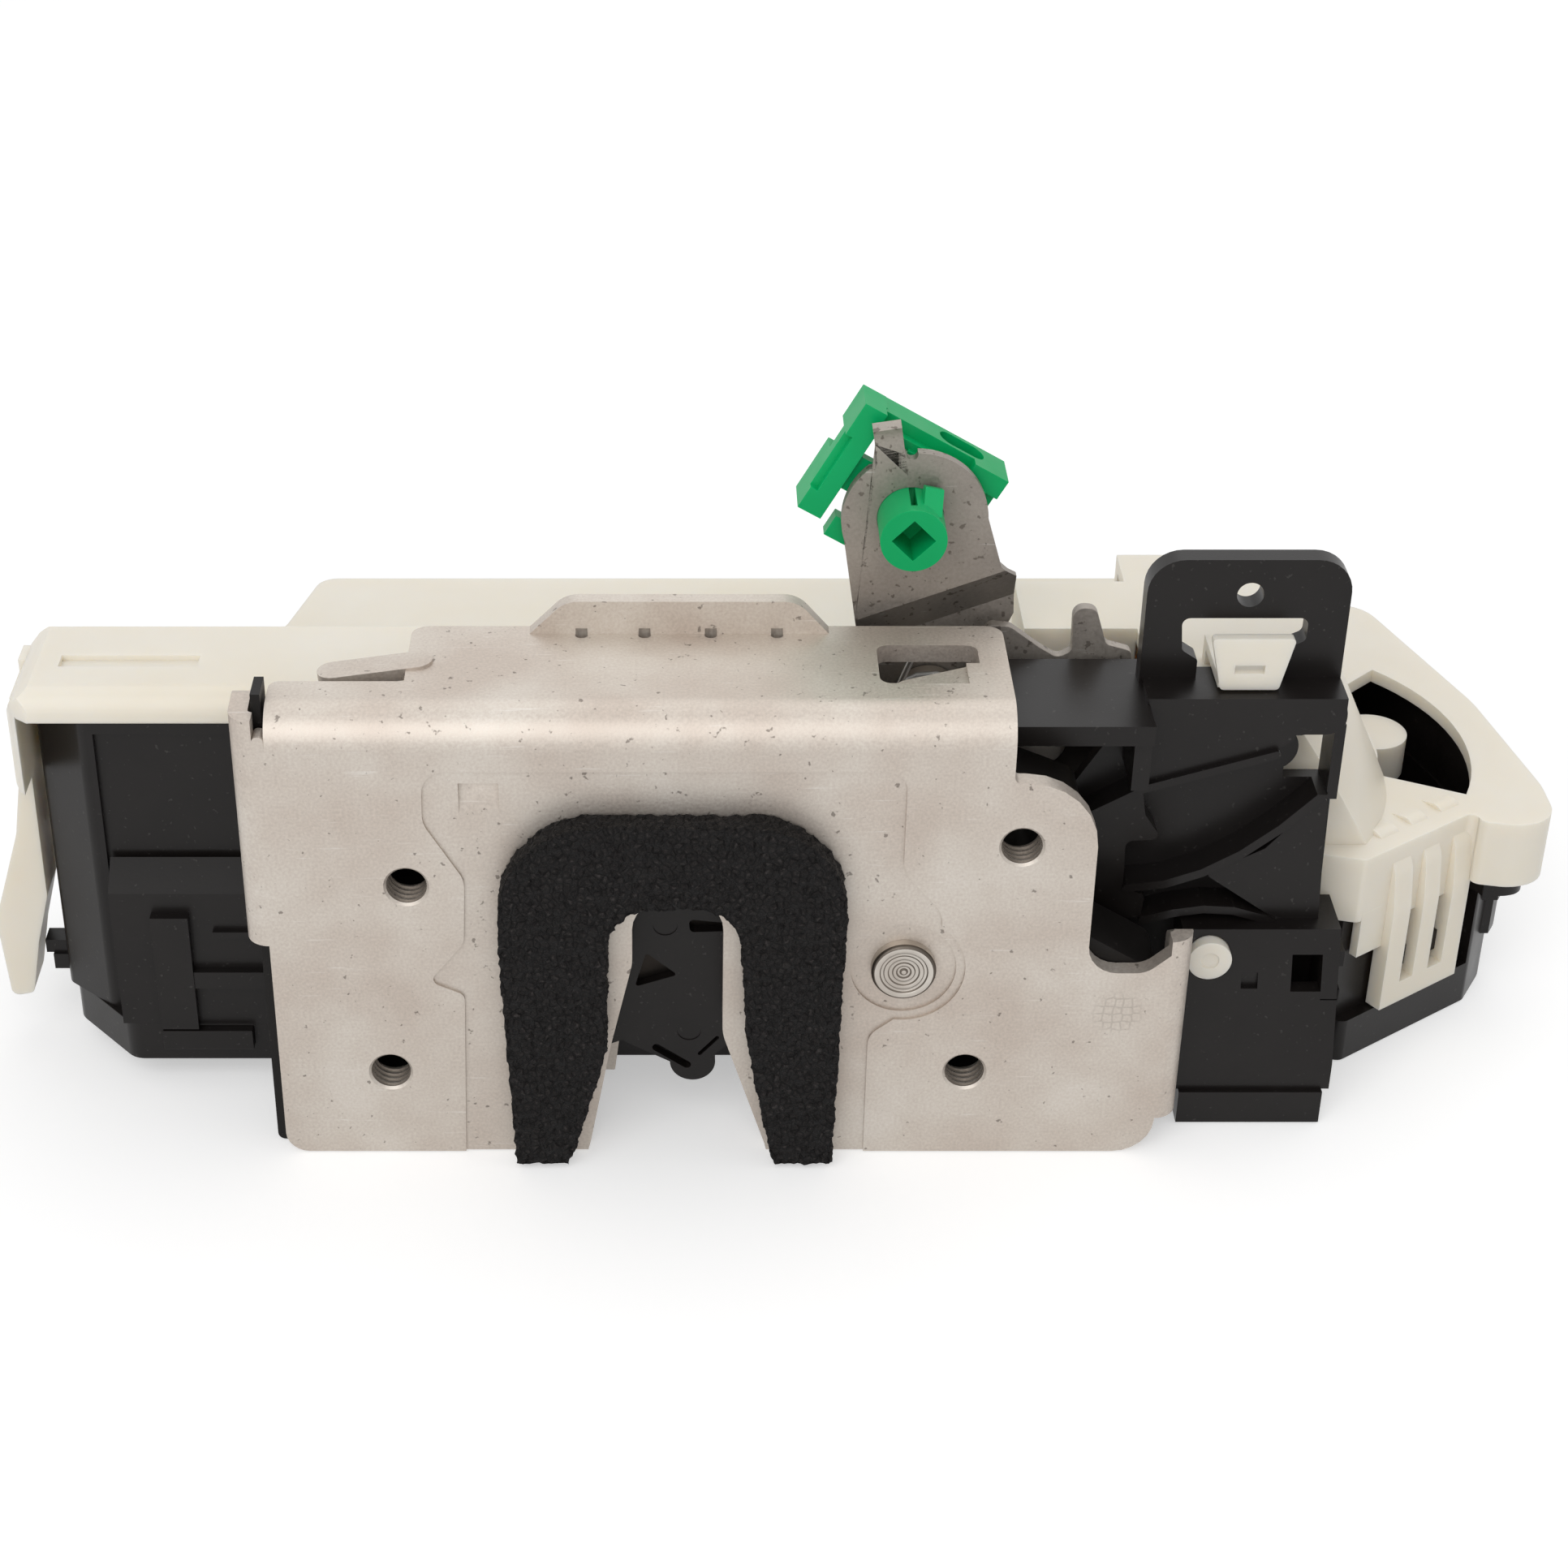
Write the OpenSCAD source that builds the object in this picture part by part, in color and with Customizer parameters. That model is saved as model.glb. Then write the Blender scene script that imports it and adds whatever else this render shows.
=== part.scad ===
// Door latch actuator: steel latch plate, claw and pawl, release levers with
// rod clip, and a moulded actuator box with a worm driven lock lever.
// X runs along the striker plate, Y into the door, Z up; origin at the middle of
// the striker mouth, on the plate's front face and lower edge. Millimetres.

/* [Latch plate] */
// Thickness of the pressed steel plate
plate_t = 2.4; // [2:0.1:2.8]
// Height from the lower edge to the top of the flange
plate_h = 66.5; // [65:0.5:70]
// Left edge of the plate face
plate_left = -54.8; // [-58:0.2:-54]
// Right edge of the lower wing
plate_right = 65.8; // [64:0.2:68]
// Depth of the top flange behind the front face
flange_depth = 23.3; // [21.5:0.1:24]
// Outer radius of the top bend
bend_r = 5; // [4:0.5:6]
// Outer radius of the side bends
side_bend_r = 3; // [2.9:0.1:3.4]
// Height of the upright lip on the flange
lip_h = 4.6; // [3:0.2:7]
// Minor radius of the M6 threads
thread_r = 2.5; // [2.3:0.05:2.7]
// Length of each threaded collar
collar_len = 5; // [4:0.1:5.1]
// Depth of the pressed recess round the mouth
emboss = 0.35; // [0.2:0.05:0.6]

/* [Striker mouth] */
// Half width of the mouth at its throat
mouth_half = 5.8; // [5.4:0.1:6.4]
// Half width of the mouth at its entry
entry_half = 11.5; // [10.5:0.1:12.5]
// Height of the top of the mouth
mouth_top = 40; // [39:0.5:42]
// Depth of the rolled mouth edge behind the plate's front
mouth_rim = 4.6; // [3.4:0.1:4.8]
// Thickness of the foam seal
foam_t = 4; // [3:0.5:6]

/* [Claw and pawl] */
// Pivot of the claw, across the plate
claw_x = 28.8; // [28.4:0.1:29.2]
// Pivot of the claw, above the lower edge
claw_z = 29.4; // [29:0.1:29.8]
// Turn of the claw from open to latched
claw_turn = 52.8; // [50:0.2:54]
// Height of the latched striker
striker_z = 31; // [30.6:0.1:31.4]
// Half width of the claw's mouth
claw_mouth = 5.6; // [5.2:0.1:5.9]
// Thickness of the steel claw
core_t = 5.4; // [4:0.1:5.6]
// Depth of the claw's front face
claw_front = 5.2; // [5:0.05:5.4]
// Thickness of the plastic over the claw's front
skin_t = 1.4; // [1:0.1:2]
// Radius of the claw rivet's shank
claw_pin_r = 3.2; // [2.8:0.1:3.6]
// Pivot of the pawl, across the plate
pawl_x = -19; // [-19.4:0.1:-18.8]
// Pivot of the pawl, above the lower edge
pawl_z = 33; // [32.6:0.1:33.4]
// Turn of the pawl from released to engaged
pawl_turn = 11; // [10.5:0.1:12]
// Radius of the pawl rivet's shank
pawl_pin_r = 2.6; // [2.2:0.1:3]
// Running clearance of every pivot
run = 0.05; // [0.02:0.01:0.09]

/* [Levers] */
// Thickness of the lever sheet
lever_t = 1.5; // [1.2:0.1:1.8]
// Depth of the outside lever's front face
lever_y = 27.4; // [27:0.1:28]
// Pivot of the outside lever, across the plate
lever_x = 33; // [32:0.2:34]
// Pivot of the outside lever, above the lower edge
lever_z = 52; // [51.6:0.2:52.6]
// Depth of the joggle in the outside lever
joggle = 4.2; // [4:0.1:4.4]
// Place of the clip hole, across the plate
clip_x = 29.4; // [29:0.2:30.2]
// Place of the clip hole, above the lower edge
clip_z = 79.8; // [79:0.2:80.4]
// Radius of the clip barrel
clip_r = 4.2; // [4:0.05:4.4]
// Turn of the clip's block against the barrel
clip_tilt = 30; // [20:1:40]
// Pivot of the inside lever, across the plate
inside_x = 47.5; // [47:0.1:48]
// Pivot of the inside lever, above the lower edge
inside_z = 47.6; // [47.4:0.1:48]

/* [Housings] */
// Wall of the moulded housings
wall = 2; // [1.6:0.1:2.2]
// Left end of the actuator box
box_left = -84; // [-88:0.5:-83]
// Front of the left wing
wing_front = 19; // [18.5:0.25:20]
// Back of the middle of the box
box_back = 66; // [65:0.5:70]
// Height of the seam between base and lower cover
seam_z = 10; // [8:0.5:11]
// Drop from the top of the plate to the ridge of the cover
ridge_drop = 6.5; // [5.5:0.25:7.5]
// Drop from the ridge to the deck behind it
deck_drop = 10; // [9:0.25:11]
// Height of the lower cover's underside
shell_low = 4; // [3:0.25:5]
// Top of the round lobe's lid
lobe_top = 33; // [32.5:0.25:34]
// Depth of the lid's rim
rim_h = 10; // [8:0.5:11]
// Gap between a cover and what it fits over
fit = 0.25; // [0.15:0.05:0.3]
// Height of the cable bracket's shelf
shelf_z = 60.8; // [60:0.2:61.4]
// Height of the bracket's ear over the shelf
ear_h = 16.8; // [15:0.2:19]
// Radius of the locating hole in the ear
ear_hole_r = 1.7; // [1.4:0.1:2.2]

/* [Lock drive] */
// Module of the worm gearing
worm_m = 0.8; // [0.78:0.01:0.82]
// Teeth of the worm wheel
wheel_teeth = 30; // [29:1:31]
// Module of the pinion and sector
sector_m = 1; // [0.98:0.01:1.02]
// Teeth of the pinion
pinion_teeth = 12; // [12:1:13]
// Teeth of the sector's full circle
sector_teeth = 36; // [35:1:37]
// Pitch radius of the worm
worm_r = 3; // [2.9:0.05:3.1]
// Height of the worm's axis
worm_z = 18; // [17.5:0.25:18.5]
// Radius of the motor can
motor_r = 12; // [11:0.5:12.5]
// Length of the motor can
motor_len = 28; // [24:1:30]
// Play between gear teeth
backlash = 0.3; // [0.2:0.05:0.4]

/* [Hidden] */
$fn = 48;
eps = 0.01;
cut = 1;

steel = [0.75, 0.73, 0.70];
dark_steel = [0.56, 0.54, 0.52];
black = [0.12, 0.11, 0.11];
nylon = [0.93, 0.91, 0.86];
green = [0.06, 0.69, 0.42];
brass = [0.80, 0.65, 0.33];
rubber = [0.08, 0.08, 0.08];

// Places of the four threaded holes, x and z
threads = [[-34, 42], [-37.4, 13.1], [42.8, 47.9], [37.4, 13.1]];
// Layers behind the plate
housing_front = plate_t + 0.2;
claw_back = claw_front + skin_t + core_t;
back_plate_y = claw_back + 0.5;
back_plate_t = 2;
back_plate_end = back_plate_y + back_plate_t;
rivet_tail = 0.8;
box_front = back_plate_end + rivet_tail + 0.5;
face_left = plate_left + side_bend_r;
face_top = plate_h - bend_r;
// Foam outline
foam_half = 22.5;
foam_mid = -0.5;
foam_top = 53.3;
foam_in_half = 7.8;
foam_in_top = 40.4;
// Steps of the housing behind the plate
flange_end_x = 41.3;
flange_shallow_x = -33.8;
flange_shallow_y = 9;
// Heights of the cover under the flange
ridge_top = plate_h - ridge_drop;
rim_z = ridge_top - 4.2;
deck_top = ridge_top - deck_drop;
housing_top = face_top + 0.7;
// Lever bay in the middle of the box
bay_left = 12;
bay_right = 62;
bay_back = 36.5;
bay_floor = 43;
bay_step = 50.8;
ridge_back = 36;
wing_right = -54;
wing_back = 50;
crown = [30, 79.4];
crown_r = 9.3;
tongue_foot = [26.7, lever_y, crown[1] + 8.5];
lower_lever_y = lever_y + joggle;
lever_reach = 20.8;
// Bracket planes
bracket_front = 14.5;
ear_y = 20;
ear_t = 2.9;
block_front = 7;
block_back = 12;
block_top = 27.4;
// Stake that fixes the bracket, x and z, and the depth of the sloped face there
stake = [70, 23.6];
stake_y = block_front + (stake[1] - 9) * (block_back - block_front) / (block_top - 9);
// Gearing
worm_pitch = PI * worm_m;
wheel_r = worm_m * wheel_teeth / 2;
pinion_r = sector_m * pinion_teeth / 2;
sector_r = sector_m * sector_teeth / 2;
lock_x = 80;
lock_y = 50;
gear_gap = pinion_r + sector_r;
wheel_x = lock_x - gear_gap * cos(45);
wheel_y = lock_y + gear_gap * sin(45);
worm_y = wheel_y - wheel_r - worm_r;
worm_x0 = wheel_x - 6.5;
worm_len = 13;
motor_end = worm_x0 - 6.5;
boss_reach = 23.3;
boss_angle = 27;
diag_x = 91.5;
diag_y = 19.8;
diag_turn = 35.5;
// Height of the circuit carrier, on its posts
carrier_z = seam_z + wall + 14.2;
carrier_t = 1.8;

// Unit vector along v
function unit(v) = v / norm(v);
// Arc of n steps that rounds the corner b between a and c; b holds x, y and radius
function corner(a, b, c, n) =
    let (p = [b[0], b[1]], r = b[2])
    r <= 0 ? [p] :
    let (
        u = unit([a[0], a[1]] - p),
        v = unit([c[0], c[1]] - p),
        half = acos(max(-1, min(1, u * v))) / 2,
        centre = p + unit(u + v) * r / sin(half),
        s = p + u * r / tan(half) - centre,
        e = p + v * r / tan(half) - centre,
        a0 = atan2(s[1], s[0]),
        d = (atan2(e[1], e[0]) - a0 + 540) % 360 - 180
    )
    [for (k = [0:n]) centre + r * [cos(a0 + d * k / n), sin(a0 + d * k / n)]];
// Outline run anticlockwise
function ccw(p) =
    let (n = len(p), area = [for (i = [0:n - 1]) cross(p[i], p[(i + 1) % n])] * [for (i = [0:n - 1]) 1])
    area > 0 ? p : [for (i = [1:n]) p[n - i]];
// Closed outline of [x, y, radius] corners with every corner rounded
function rounded(p, n = 6) =
    ccw([for (i = [0:len(p) - 1]) each corner(p[(i + len(p) - 1) % len(p)], p[i], p[(i + 1) % len(p)], n)]);
// Anticlockwise outline moved inwards by g, with its corner radii kept concentric
function inset(p, g) =
    let (n = len(p))
    [for (i = [0:n - 1])
        let (
            a = p[(i + n - 1) % n], b = p[i], c = p[(i + 1) % n],
            d1 = unit([b[0] - a[0], b[1] - a[1]]),
            d2 = unit([c[0] - b[0], c[1] - b[1]]),
            n1 = [-d1[1], d1[0]],
            n2 = [-d2[1], d2[0]],
            m = (n1 + n2) * g / (1 + n1 * n2),
            r = b[2] <= 0 ? 0 : cross(d1, d2) > 0 ? max(b[2] - g, 0.3) : b[2] + g
        )
        [b[0] + m[0], b[1] + m[1], r]];
// Point at radius r and angle a above the claw's leftward axis
function claw_point(r, a) = [-r * cos(a), r * sin(a)];

// Outline in the X-Z plane, thick t from depth y0
module upright(y0, t) {
    translate([0, y0 + t, 0]) rotate([90, 0, 0]) linear_extrude(t) children();
}
// Outline in the X-Y plane, high h from height z0
module level(z0, h) {
    translate([0, 0, z0]) linear_extrude(h) children();
}
// Box between two corners
module block(a, b) {
    translate(a) cube(b - a);
}
// Cylinder along Y at x, z
module rod_y(x, z, y0, y1, r) {
    translate([x, y0, z]) rotate([-90, 0, 0]) cylinder(r = r, h = y1 - y0);
}
// Cylinder along X at y, z
module rod_x(y, z, x0, x1, r) {
    translate([x0, y, z]) rotate([0, 90, 0]) cylinder(r = r, h = x1 - x0);
}
// Upright cylinder
module rod_z(x, y, z0, z1, r) {
    translate([x, y, z0]) cylinder(r = r, h = z1 - z0);
}
// Bar with round ends between two points of the plane
module bar_2d(a, b, r) {
    d = b - a;
    e = norm(d) + r;
    translate(a) rotate(atan2(d[1], d[0])) polygon(rounded([
        [-r, -r, 0.97 * r], [e, -r, 0.97 * r], [e, r, 0.97 * r], [-r, r, 0.97 * r]]));
}
// Round wire of radius r along a list of points
module wire(path, r, sides = 8) {
    n = len(path);
    ring = [for (i = [0:n - 1])
        let (
            t = unit(path[min(i + 1, n - 1)] - path[max(i - 1, 0)]),
            u = unit(cross(t, abs(t[1]) > 0.9 ? [1, 0, 0] : [0, 1, 0])),
            w = cross(u, t)
        )
        for (k = [0:sides - 1]) path[i] + r * (u * cos(360 * k / sides) + w * sin(360 * k / sides))];
    faces = [
        [for (k = [0:sides - 1]) k],
        for (i = [0:n - 2]) for (k = [0:sides - 1])
            [i * sides + k, (i + 1) * sides + k, (i + 1) * sides + (k + 1) % sides, i * sides + (k + 1) % sides],
        [for (k = [sides - 1:-1:0]) (n - 1) * sides + k]
    ];
    polyhedron(ring, faces, convexity = 6);
}
// Path of a torsion spring round a Y axis: leg, coil, leg
function torsion(x, z, y0, r, pitch, turns, a0, leg1, leg2) =
    let (
        n = 14,
        last = a0 + 360 * turns,
        out = [for (k = [0:n * turns]) let (a = a0 + 360 * k / n)
            [x + r * cos(a), y0 + pitch * k / n, z + r * sin(a)]],
        e = out[len(out) - 1]
    )
    concat(
        [out[0] + leg1 * [sin(a0), 0, -cos(a0)]],
        out,
        [e + leg2 * [-sin(last), 0, cos(last)]]
    );

// Striker mouth, grown by g
function mouth(g) = rounded([
    [-entry_half - g - 0.6, -cut, 0], [-entry_half - g, 1.5, 2], [-8.7 - g, 17, 8],
    [-mouth_half - g, 30, 8], [-mouth_half - g, mouth_top + g, 4.8], [mouth_half + g, mouth_top + g, 4.8],
    [mouth_half + g, 19, 8], [entry_half + g, 1, 2], [entry_half + g + 0.4, -cut, 0]]);

module plate_face() {
    polygon(rounded([
        [face_left, 0, 3], [plate_right - side_bend_r, 0, 5.2], [plate_right - side_bend_r, 31.5, 0],
        [59.8, 28.8, 3.5], [52.2, 28.8, 4], [52.2, 57.2, 9.3], [flange_end_x, 57.2, 0.8],
        [flange_end_x, face_top, 0], [face_left + 1.4, face_top, 0], [face_left + 1.4, face_top + 2.2, 0.6],
        [face_left, face_top + 2.2, 0.6]]));
}

// Quarter ring bend along Z from z0 to z1, centred at cx, turned to start at angle a
module side_bend(cx, z0, z1, a) {
    translate([cx, side_bend_r, z0]) rotate(a)
        rotate_extrude(angle = 90) translate([side_bend_r - plate_t, 0]) square([plate_t, z1 - z0]);
}

module emboss_outline() {
    polygon(rounded([
        [-28.1, -cut, 0], [-27.3, 25.4, 1.2], [-31.8, 27.5, 1], [-27.1, 33.4, 3.4], [-26.7, 43, 4],
        [-31.6, 51.4, 4], [-31.4, 58.8, 3], [28.2, 58.8, 2.5], [28.2, 44.2, 5], [33.4, 38, 4],
        [33.4, 26, 3], [24.6, 19, 3], [24.6, -cut, 0]]));
    translate([claw_x, claw_z]) circle(7.9);
}

module latch_plate() color(steel) {
    plate_body();
    // tongue lanced from the right edge of the flange's window
    tongue(32.8, 11.2, 64.5, 11.6, -9);
}

module plate_body() difference() {
    union() {
        upright(0, plate_t) plate_face();
        // top bend and flange
        intersection() {
            translate([plate_left, bend_r, face_top]) rotate([0, 90, 0]) difference() {
                cylinder(r = bend_r, h = 110);
                translate([0, 0, -cut]) cylinder(r = bend_r - plate_t, h = 112);
            }
            block([face_left + 1.4, -cut, face_top], [flange_end_x, bend_r, plate_h + cut]);
        }
        level(plate_h - plate_t, plate_t) polygon(rounded([
            [face_left + 1.4, bend_r - eps, 0], [flange_end_x, bend_r - eps, 0],
            [flange_end_x, flange_depth, 2.2], [flange_shallow_x, flange_depth, 2.2],
            [flange_shallow_x, flange_shallow_y, 0], [face_left + 1.4, flange_shallow_y, 1.4]]));
        // upright lip
        upright(flange_depth - 2.1, 2.1) polygon(rounded([
            [-20.5, plate_h - 1, 0], [-18.8, plate_h, 2], [-14.2, plate_h + lip_h, 4],
            [15.2, plate_h + lip_h, 4], [19.2, plate_h, 2], [20.6, plate_h - 1, 0]]));
        // left side flange
        side_bend(face_left, 33, plate_h - 0.6, 180);
        upright(side_bend_r - eps, 0.1) polygon([[0, 0], [0, 0.01], [0.01, 0]]);
        translate([plate_left, 0, 0]) rotate([90, 0, 90]) linear_extrude(plate_t) polygon(rounded([
            [side_bend_r - eps, 33, 0], [9, 33, 1.5], [9, plate_h, 2.5], [side_bend_r - eps, plate_h - 0.6, 0]]));
        // right lower flange
        side_bend(plate_right - side_bend_r, 5.5, 33.6, 270);
        translate([plate_right - plate_t, 0, 0]) rotate([90, 0, 90]) linear_extrude(plate_t)
            polygon(rounded([
                [side_bend_r - eps, 5.5, 0], [8, 7.5, 2], [8, 30, 2], [side_bend_r - eps, 33.6, 0]]));
        // rolled mouth edge
        upright(plate_t - eps, mouth_rim - plate_t) intersection() {
            difference() {
                polygon(mouth(2));
                polygon(mouth(0));
            }
            translate([-20, 1.5]) square([40, 34]);
        }
        // bump under the hook pocket
        intersection() {
            rod_x(1.5, 51.4, -26.7, -22.3, 1.9);
            block([-28, -cut, 48], [-20, 1, 55]);
        }
        // threaded collars
        for (p = threads) rod_y(p[0], p[1], plate_t - eps, collar_len, thread_r + 1.9);
        // lanced tongues beside the shallow flange and in the window
        tongue(-38.6, 13.2, 65.6, 12.4, -4);
    }
    upright(-cut, plate_t + 2 * cut) polygon(mouth(0));
    for (p = threads) {
        rod_y(p[0], p[1], -cut, collar_len + cut, thread_r);
        translate([p[0], -eps, p[1]]) rotate([-90, 0, 0]) cylinder(r1 = thread_r + 0.4, r2 = thread_r, h = 0.4);
    }
    upright(-cut, cut + emboss) emboss_outline();
    rod_y(claw_x, claw_z, -cut, 2 * emboss, 6.75);
    rod_y(claw_x, claw_z, -cut, plate_t + cut, claw_pin_r + run);
    rod_y(pawl_x, pawl_z, -cut, plate_t + cut, pawl_pin_r + run);
    // sloped recess of the pressed hook pocket
    translate([-27, 0, 0]) rotate([90, 0, 90]) linear_extrude(5)
        polygon([[-cut, 52.6], [-cut, 57], [1.5, 57], [1.5, 56.4], [emboss, 52.6]]);
    // window in the flange
    level(plate_h - plate_t - cut, plate_t + 2 * cut) difference() {
        polygon(rounded([[25, 8.5, 1.5], [37.7, 8.5, 1.5], [37.7, 18.2, 1.5], [25, 18.2, 1.5]]));
        translate([36, 8]) square([3, 5.6]);
    }
    // relief notches at the lip
    for (x = [-12.2, -4.2, 4.2, 12.6]) rod_z(x, flange_depth - 2.4, plate_h - plate_t - cut, plate_h + 0.8, 0.8);
}

// Oval tongue, centred at x, y, z, long l, tilted about Y
module tongue(x, y, z, l, tilt) {
    translate([x, y, z]) rotate([0, tilt, 0]) translate([0, 0, -0.8]) linear_extrude(1.6)
        bar_2d([-l / 2 + 2, -0.6], [l / 2 - 0.2, 0.8], 2.1);
}

module foam_seal() color(rubber) upright(-foam_t, foam_t + emboss) difference() {
    polygon(rounded([
        [foam_mid - foam_half + 1.4, 0.3, 0.6], [foam_mid - foam_half, 36, 10],
        [foam_mid - foam_half + 0.6, foam_top, 13], [foam_mid + foam_half, foam_top, 13],
        [foam_mid + foam_half - 1.4, 0.3, 0.6]], 8));
    polygon(rounded([
        [-14.6, -cut, 0], [-12.8, 3.6, 2], [foam_mid - foam_in_half - 0.4, 19, 8],
        [foam_mid - foam_in_half, foam_in_top, 5.5], [foam_mid + foam_in_half, foam_in_top, 5.5],
        [foam_mid + foam_in_half + 1.2, 20, 8], [11.4, 3.6, 2], [12.6, -cut, 0]], 8));
}

module latch_housing() color(black) difference() {
    union() {
        upright(housing_front, back_plate_y - 0.2 - housing_front) difference() {
            polygon(rounded([
                [-53.3, 0, 1], [-53.3, 31, 0.6], [face_left - 0.3, 32, 0.6], [face_left - 0.3, housing_top, 1],
                [41, housing_top, 0.8], [41, 56, 0.8], [50.5, 52, 2], [50.5, 34, 3], [62, 27, 2], [62, 0, 2]]));
            polygon(rounded([
                [-13.6, -cut, 0], [-14.5, 12, 3], [-26, 21, 3], [-37, 21, 2], [-37, 34, 2], [-27, 36, 2],
                [-26, 56, 4], [-12, housing_top - 1.2, 4], [26, housing_top - 1.2, 5], [37, 57, 4], [41, 40, 6], [40, 24, 4],
                [31, 16, 3], [24.6, -cut, 0]]));
        }
        // locating rib that shows in the plate's corner notch
        block([-52, housing_front + 0.4, 55], [-50.8, 7.5, plate_h + 1.5]);
        rod_y(threads[0][0], threads[0][1], housing_front, back_plate_y - 0.2, 6);
    }
    for (p = threads) {
        rod_y(p[0], p[1], 0, collar_len + 0.3, thread_r + 2.2);
        rod_y(p[0], p[1], 0, back_plate_end, thread_r + 0.9);
    }
    // pockets that lighten the left wing of the housing
    for (k = [0:1]) block([-49, 7, 3 + 26 * k], [-43.4, back_plate_y, 25 + 26 * k]);
}

module back_plate() color(steel) difference() {
    upright(back_plate_y, back_plate_t) difference() {
        polygon(rounded([[-36, 4, 3], [-40, 30, 6], [-36, 58, 6], [40, 58, 6], [46, 40, 6], [44, 4, 3]]));
        polygon(rounded([[-9, 0, 0], [-7.5, 12, 4], [-7.5, mouth_top, 6], [7.5, mouth_top, 6],
            [7.5, 12, 4], [9, 0, 0]]));
    }
    for (p = threads) rod_y(p[0], p[1], back_plate_y - cut, back_plate_end + cut, thread_r + 0.9);
    rod_y(claw_x, claw_z, back_plate_y - cut, back_plate_end + cut, claw_pin_r + run);
    rod_y(pawl_x, pawl_z, back_plate_y - cut, back_plate_end + cut, pawl_pin_r + run);
    rod_y(lever_x, lever_z, back_plate_y - cut, back_plate_end + cut, 3 + run);
}

// Claw in its latched place about its own pivot; g shrinks it for the steel core
module claw_outline(g) {
    top = striker_z - claw_z + claw_mouth;
    low = striker_z - claw_z - claw_mouth;
    difference() {
        union() {
            circle(10 - g);
            polygon(ccw(concat(
                [[2, -9.4 + g], [-27, low - 5.2 + g], [-28.6 + 2.6, low], [-20, low], [-20, top]],
                [claw_point(33.6, 16), claw_point(38.8 - g, 29.6), claw_point(39.0 - g, 30.3 + g)],
                [for (a = [30.3:2:40.3]) claw_point(42.5 - g, a + (a < 31 ? g : 0))],
                [claw_point(37.4 - g, 50), claw_point(36 - g, 58), claw_point(33.6 - g, 67),
                    claw_point(31 - g, 75), claw_point(24 - g, 93), [8.6 - g, 5]])));
            translate([-28.6 + 0.8, low - 2.6]) circle(2.6 - g / 2);
            translate(claw_point(32.6, 18.2)) circle(3 - g / 2);
        }
        translate([-26.8, striker_z - claw_z]) circle(claw_mouth);
        translate([-60, low]) square([60 - 26.8, 2 * claw_mouth]);
        circle(claw_pin_r + run);
    }
}
// Places a latched claw outline in its open, resting turn
module open_claw(y0, t) {
    translate([claw_x, 0, claw_z]) rotate([0, -claw_turn, 0]) upright(y0, t) children();
}

module fork_bolt_core() color(dark_steel) open_claw(claw_front + skin_t, core_t) claw_outline(1.3);

module fork_bolt_cover() color(black) difference() {
    open_claw(claw_front, skin_t + core_t) claw_outline(0);
    open_claw(claw_front + skin_t, core_t + cut) claw_outline(1.28);
    // slits that let the lip give as the striker lands, and the moulding marks
    upright(claw_front - cut, skin_t + cut + 0.1) {
        bar_2d([-2.8, 13.2], [1.2, 10.4], 0.55);
        bar_2d([2.9, 12.2], [5.2, 14.8], 0.25);
        polygon(rounded([[1.4, 33.6, 0.6], [1.6, 31.6, 0.6], [7.5, 31.8, 0], [6.5, 33, 0]]));
        polygon(rounded([[-4.1, 28.4, 0.3], [0, 24.9, 0.3], [-5.6, 23, 0.3]], 3));
    }
    for (p = [[-1.6, 32.7], [1.5, 16]]) rod_y(p[0], p[1], claw_front - cut, claw_front + 0.15, 1.6);
}

module fork_bolt_rivet() color(steel) {
    difference() {
        union() {
            rod_y(claw_x, claw_z, -0.9, 2 * emboss, 4.15);
            rod_y(claw_x, claw_z, 2 * emboss - eps, back_plate_end, claw_pin_r);
            rod_y(claw_x, claw_z, back_plate_end, back_plate_end + rivet_tail, 4.4);
        }
        rod_y(claw_x, claw_z, -cut, -0.6, 2.6);
    }
}

module fork_bolt_spring() color(dark_steel)
    wire(torsion(claw_x, claw_z, 3.35, 6.6, 0.95, 1.25, 150, 5, 7), 0.42);

module claw_bumper() color(rubber) rod_y(33.5, housing_top - 6.7, claw_front, claw_back, 2.6);

module pawl_outline() {
    polygon(ccw([
        [pawl_x - 3.6, pawl_z + 3.4], [claw_x - 45.4 * cos(27.6), claw_z + 45.4 * sin(27.6)],
        [claw_x - 44.6 * cos(29.4), claw_z + 44.6 * sin(29.4)], [claw_x - 39.6 * cos(29.5), claw_z + 39.6 * sin(29.5)],
        [claw_x - 39.8 * cos(26.5), claw_z + 39.8 * sin(26.5)], [claw_x - 42 * cos(18), claw_z + 42 * sin(18)],
        [pawl_x + 4.6, pawl_z + 1], [pawl_x, pawl_z - 3]]));
}

module pawl() color(dark_steel) difference() {
    translate([pawl_x, 0, pawl_z]) rotate([0, -pawl_turn, 0]) translate([-pawl_x, 0, -pawl_z])
        union() {
            upright(claw_front + 0.6, 5.4) pawl_outline();
            upright(claw_front + 0.6, 5.4) bar_2d([pawl_x, pawl_z], [-31, 27.6], 2.6);
            rod_y(pawl_x, pawl_z, claw_front + 0.5, claw_front + 6.2, 5);
        }
    rod_y(pawl_x, pawl_z, 0, back_plate_y, pawl_pin_r + run);
}

module pawl_rivet() color(steel) {
    rod_y(pawl_x, pawl_z, emboss + 0.1, back_plate_end, pawl_pin_r);
    rod_y(pawl_x, pawl_z, back_plate_end, back_plate_end + rivet_tail, 3.6);
}

module pawl_spring() color(dark_steel)
    wire(torsion(pawl_x, pawl_z, 3.35, 4.3, 0.95, 1.5, 200, 4, 5), 0.42);

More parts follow.
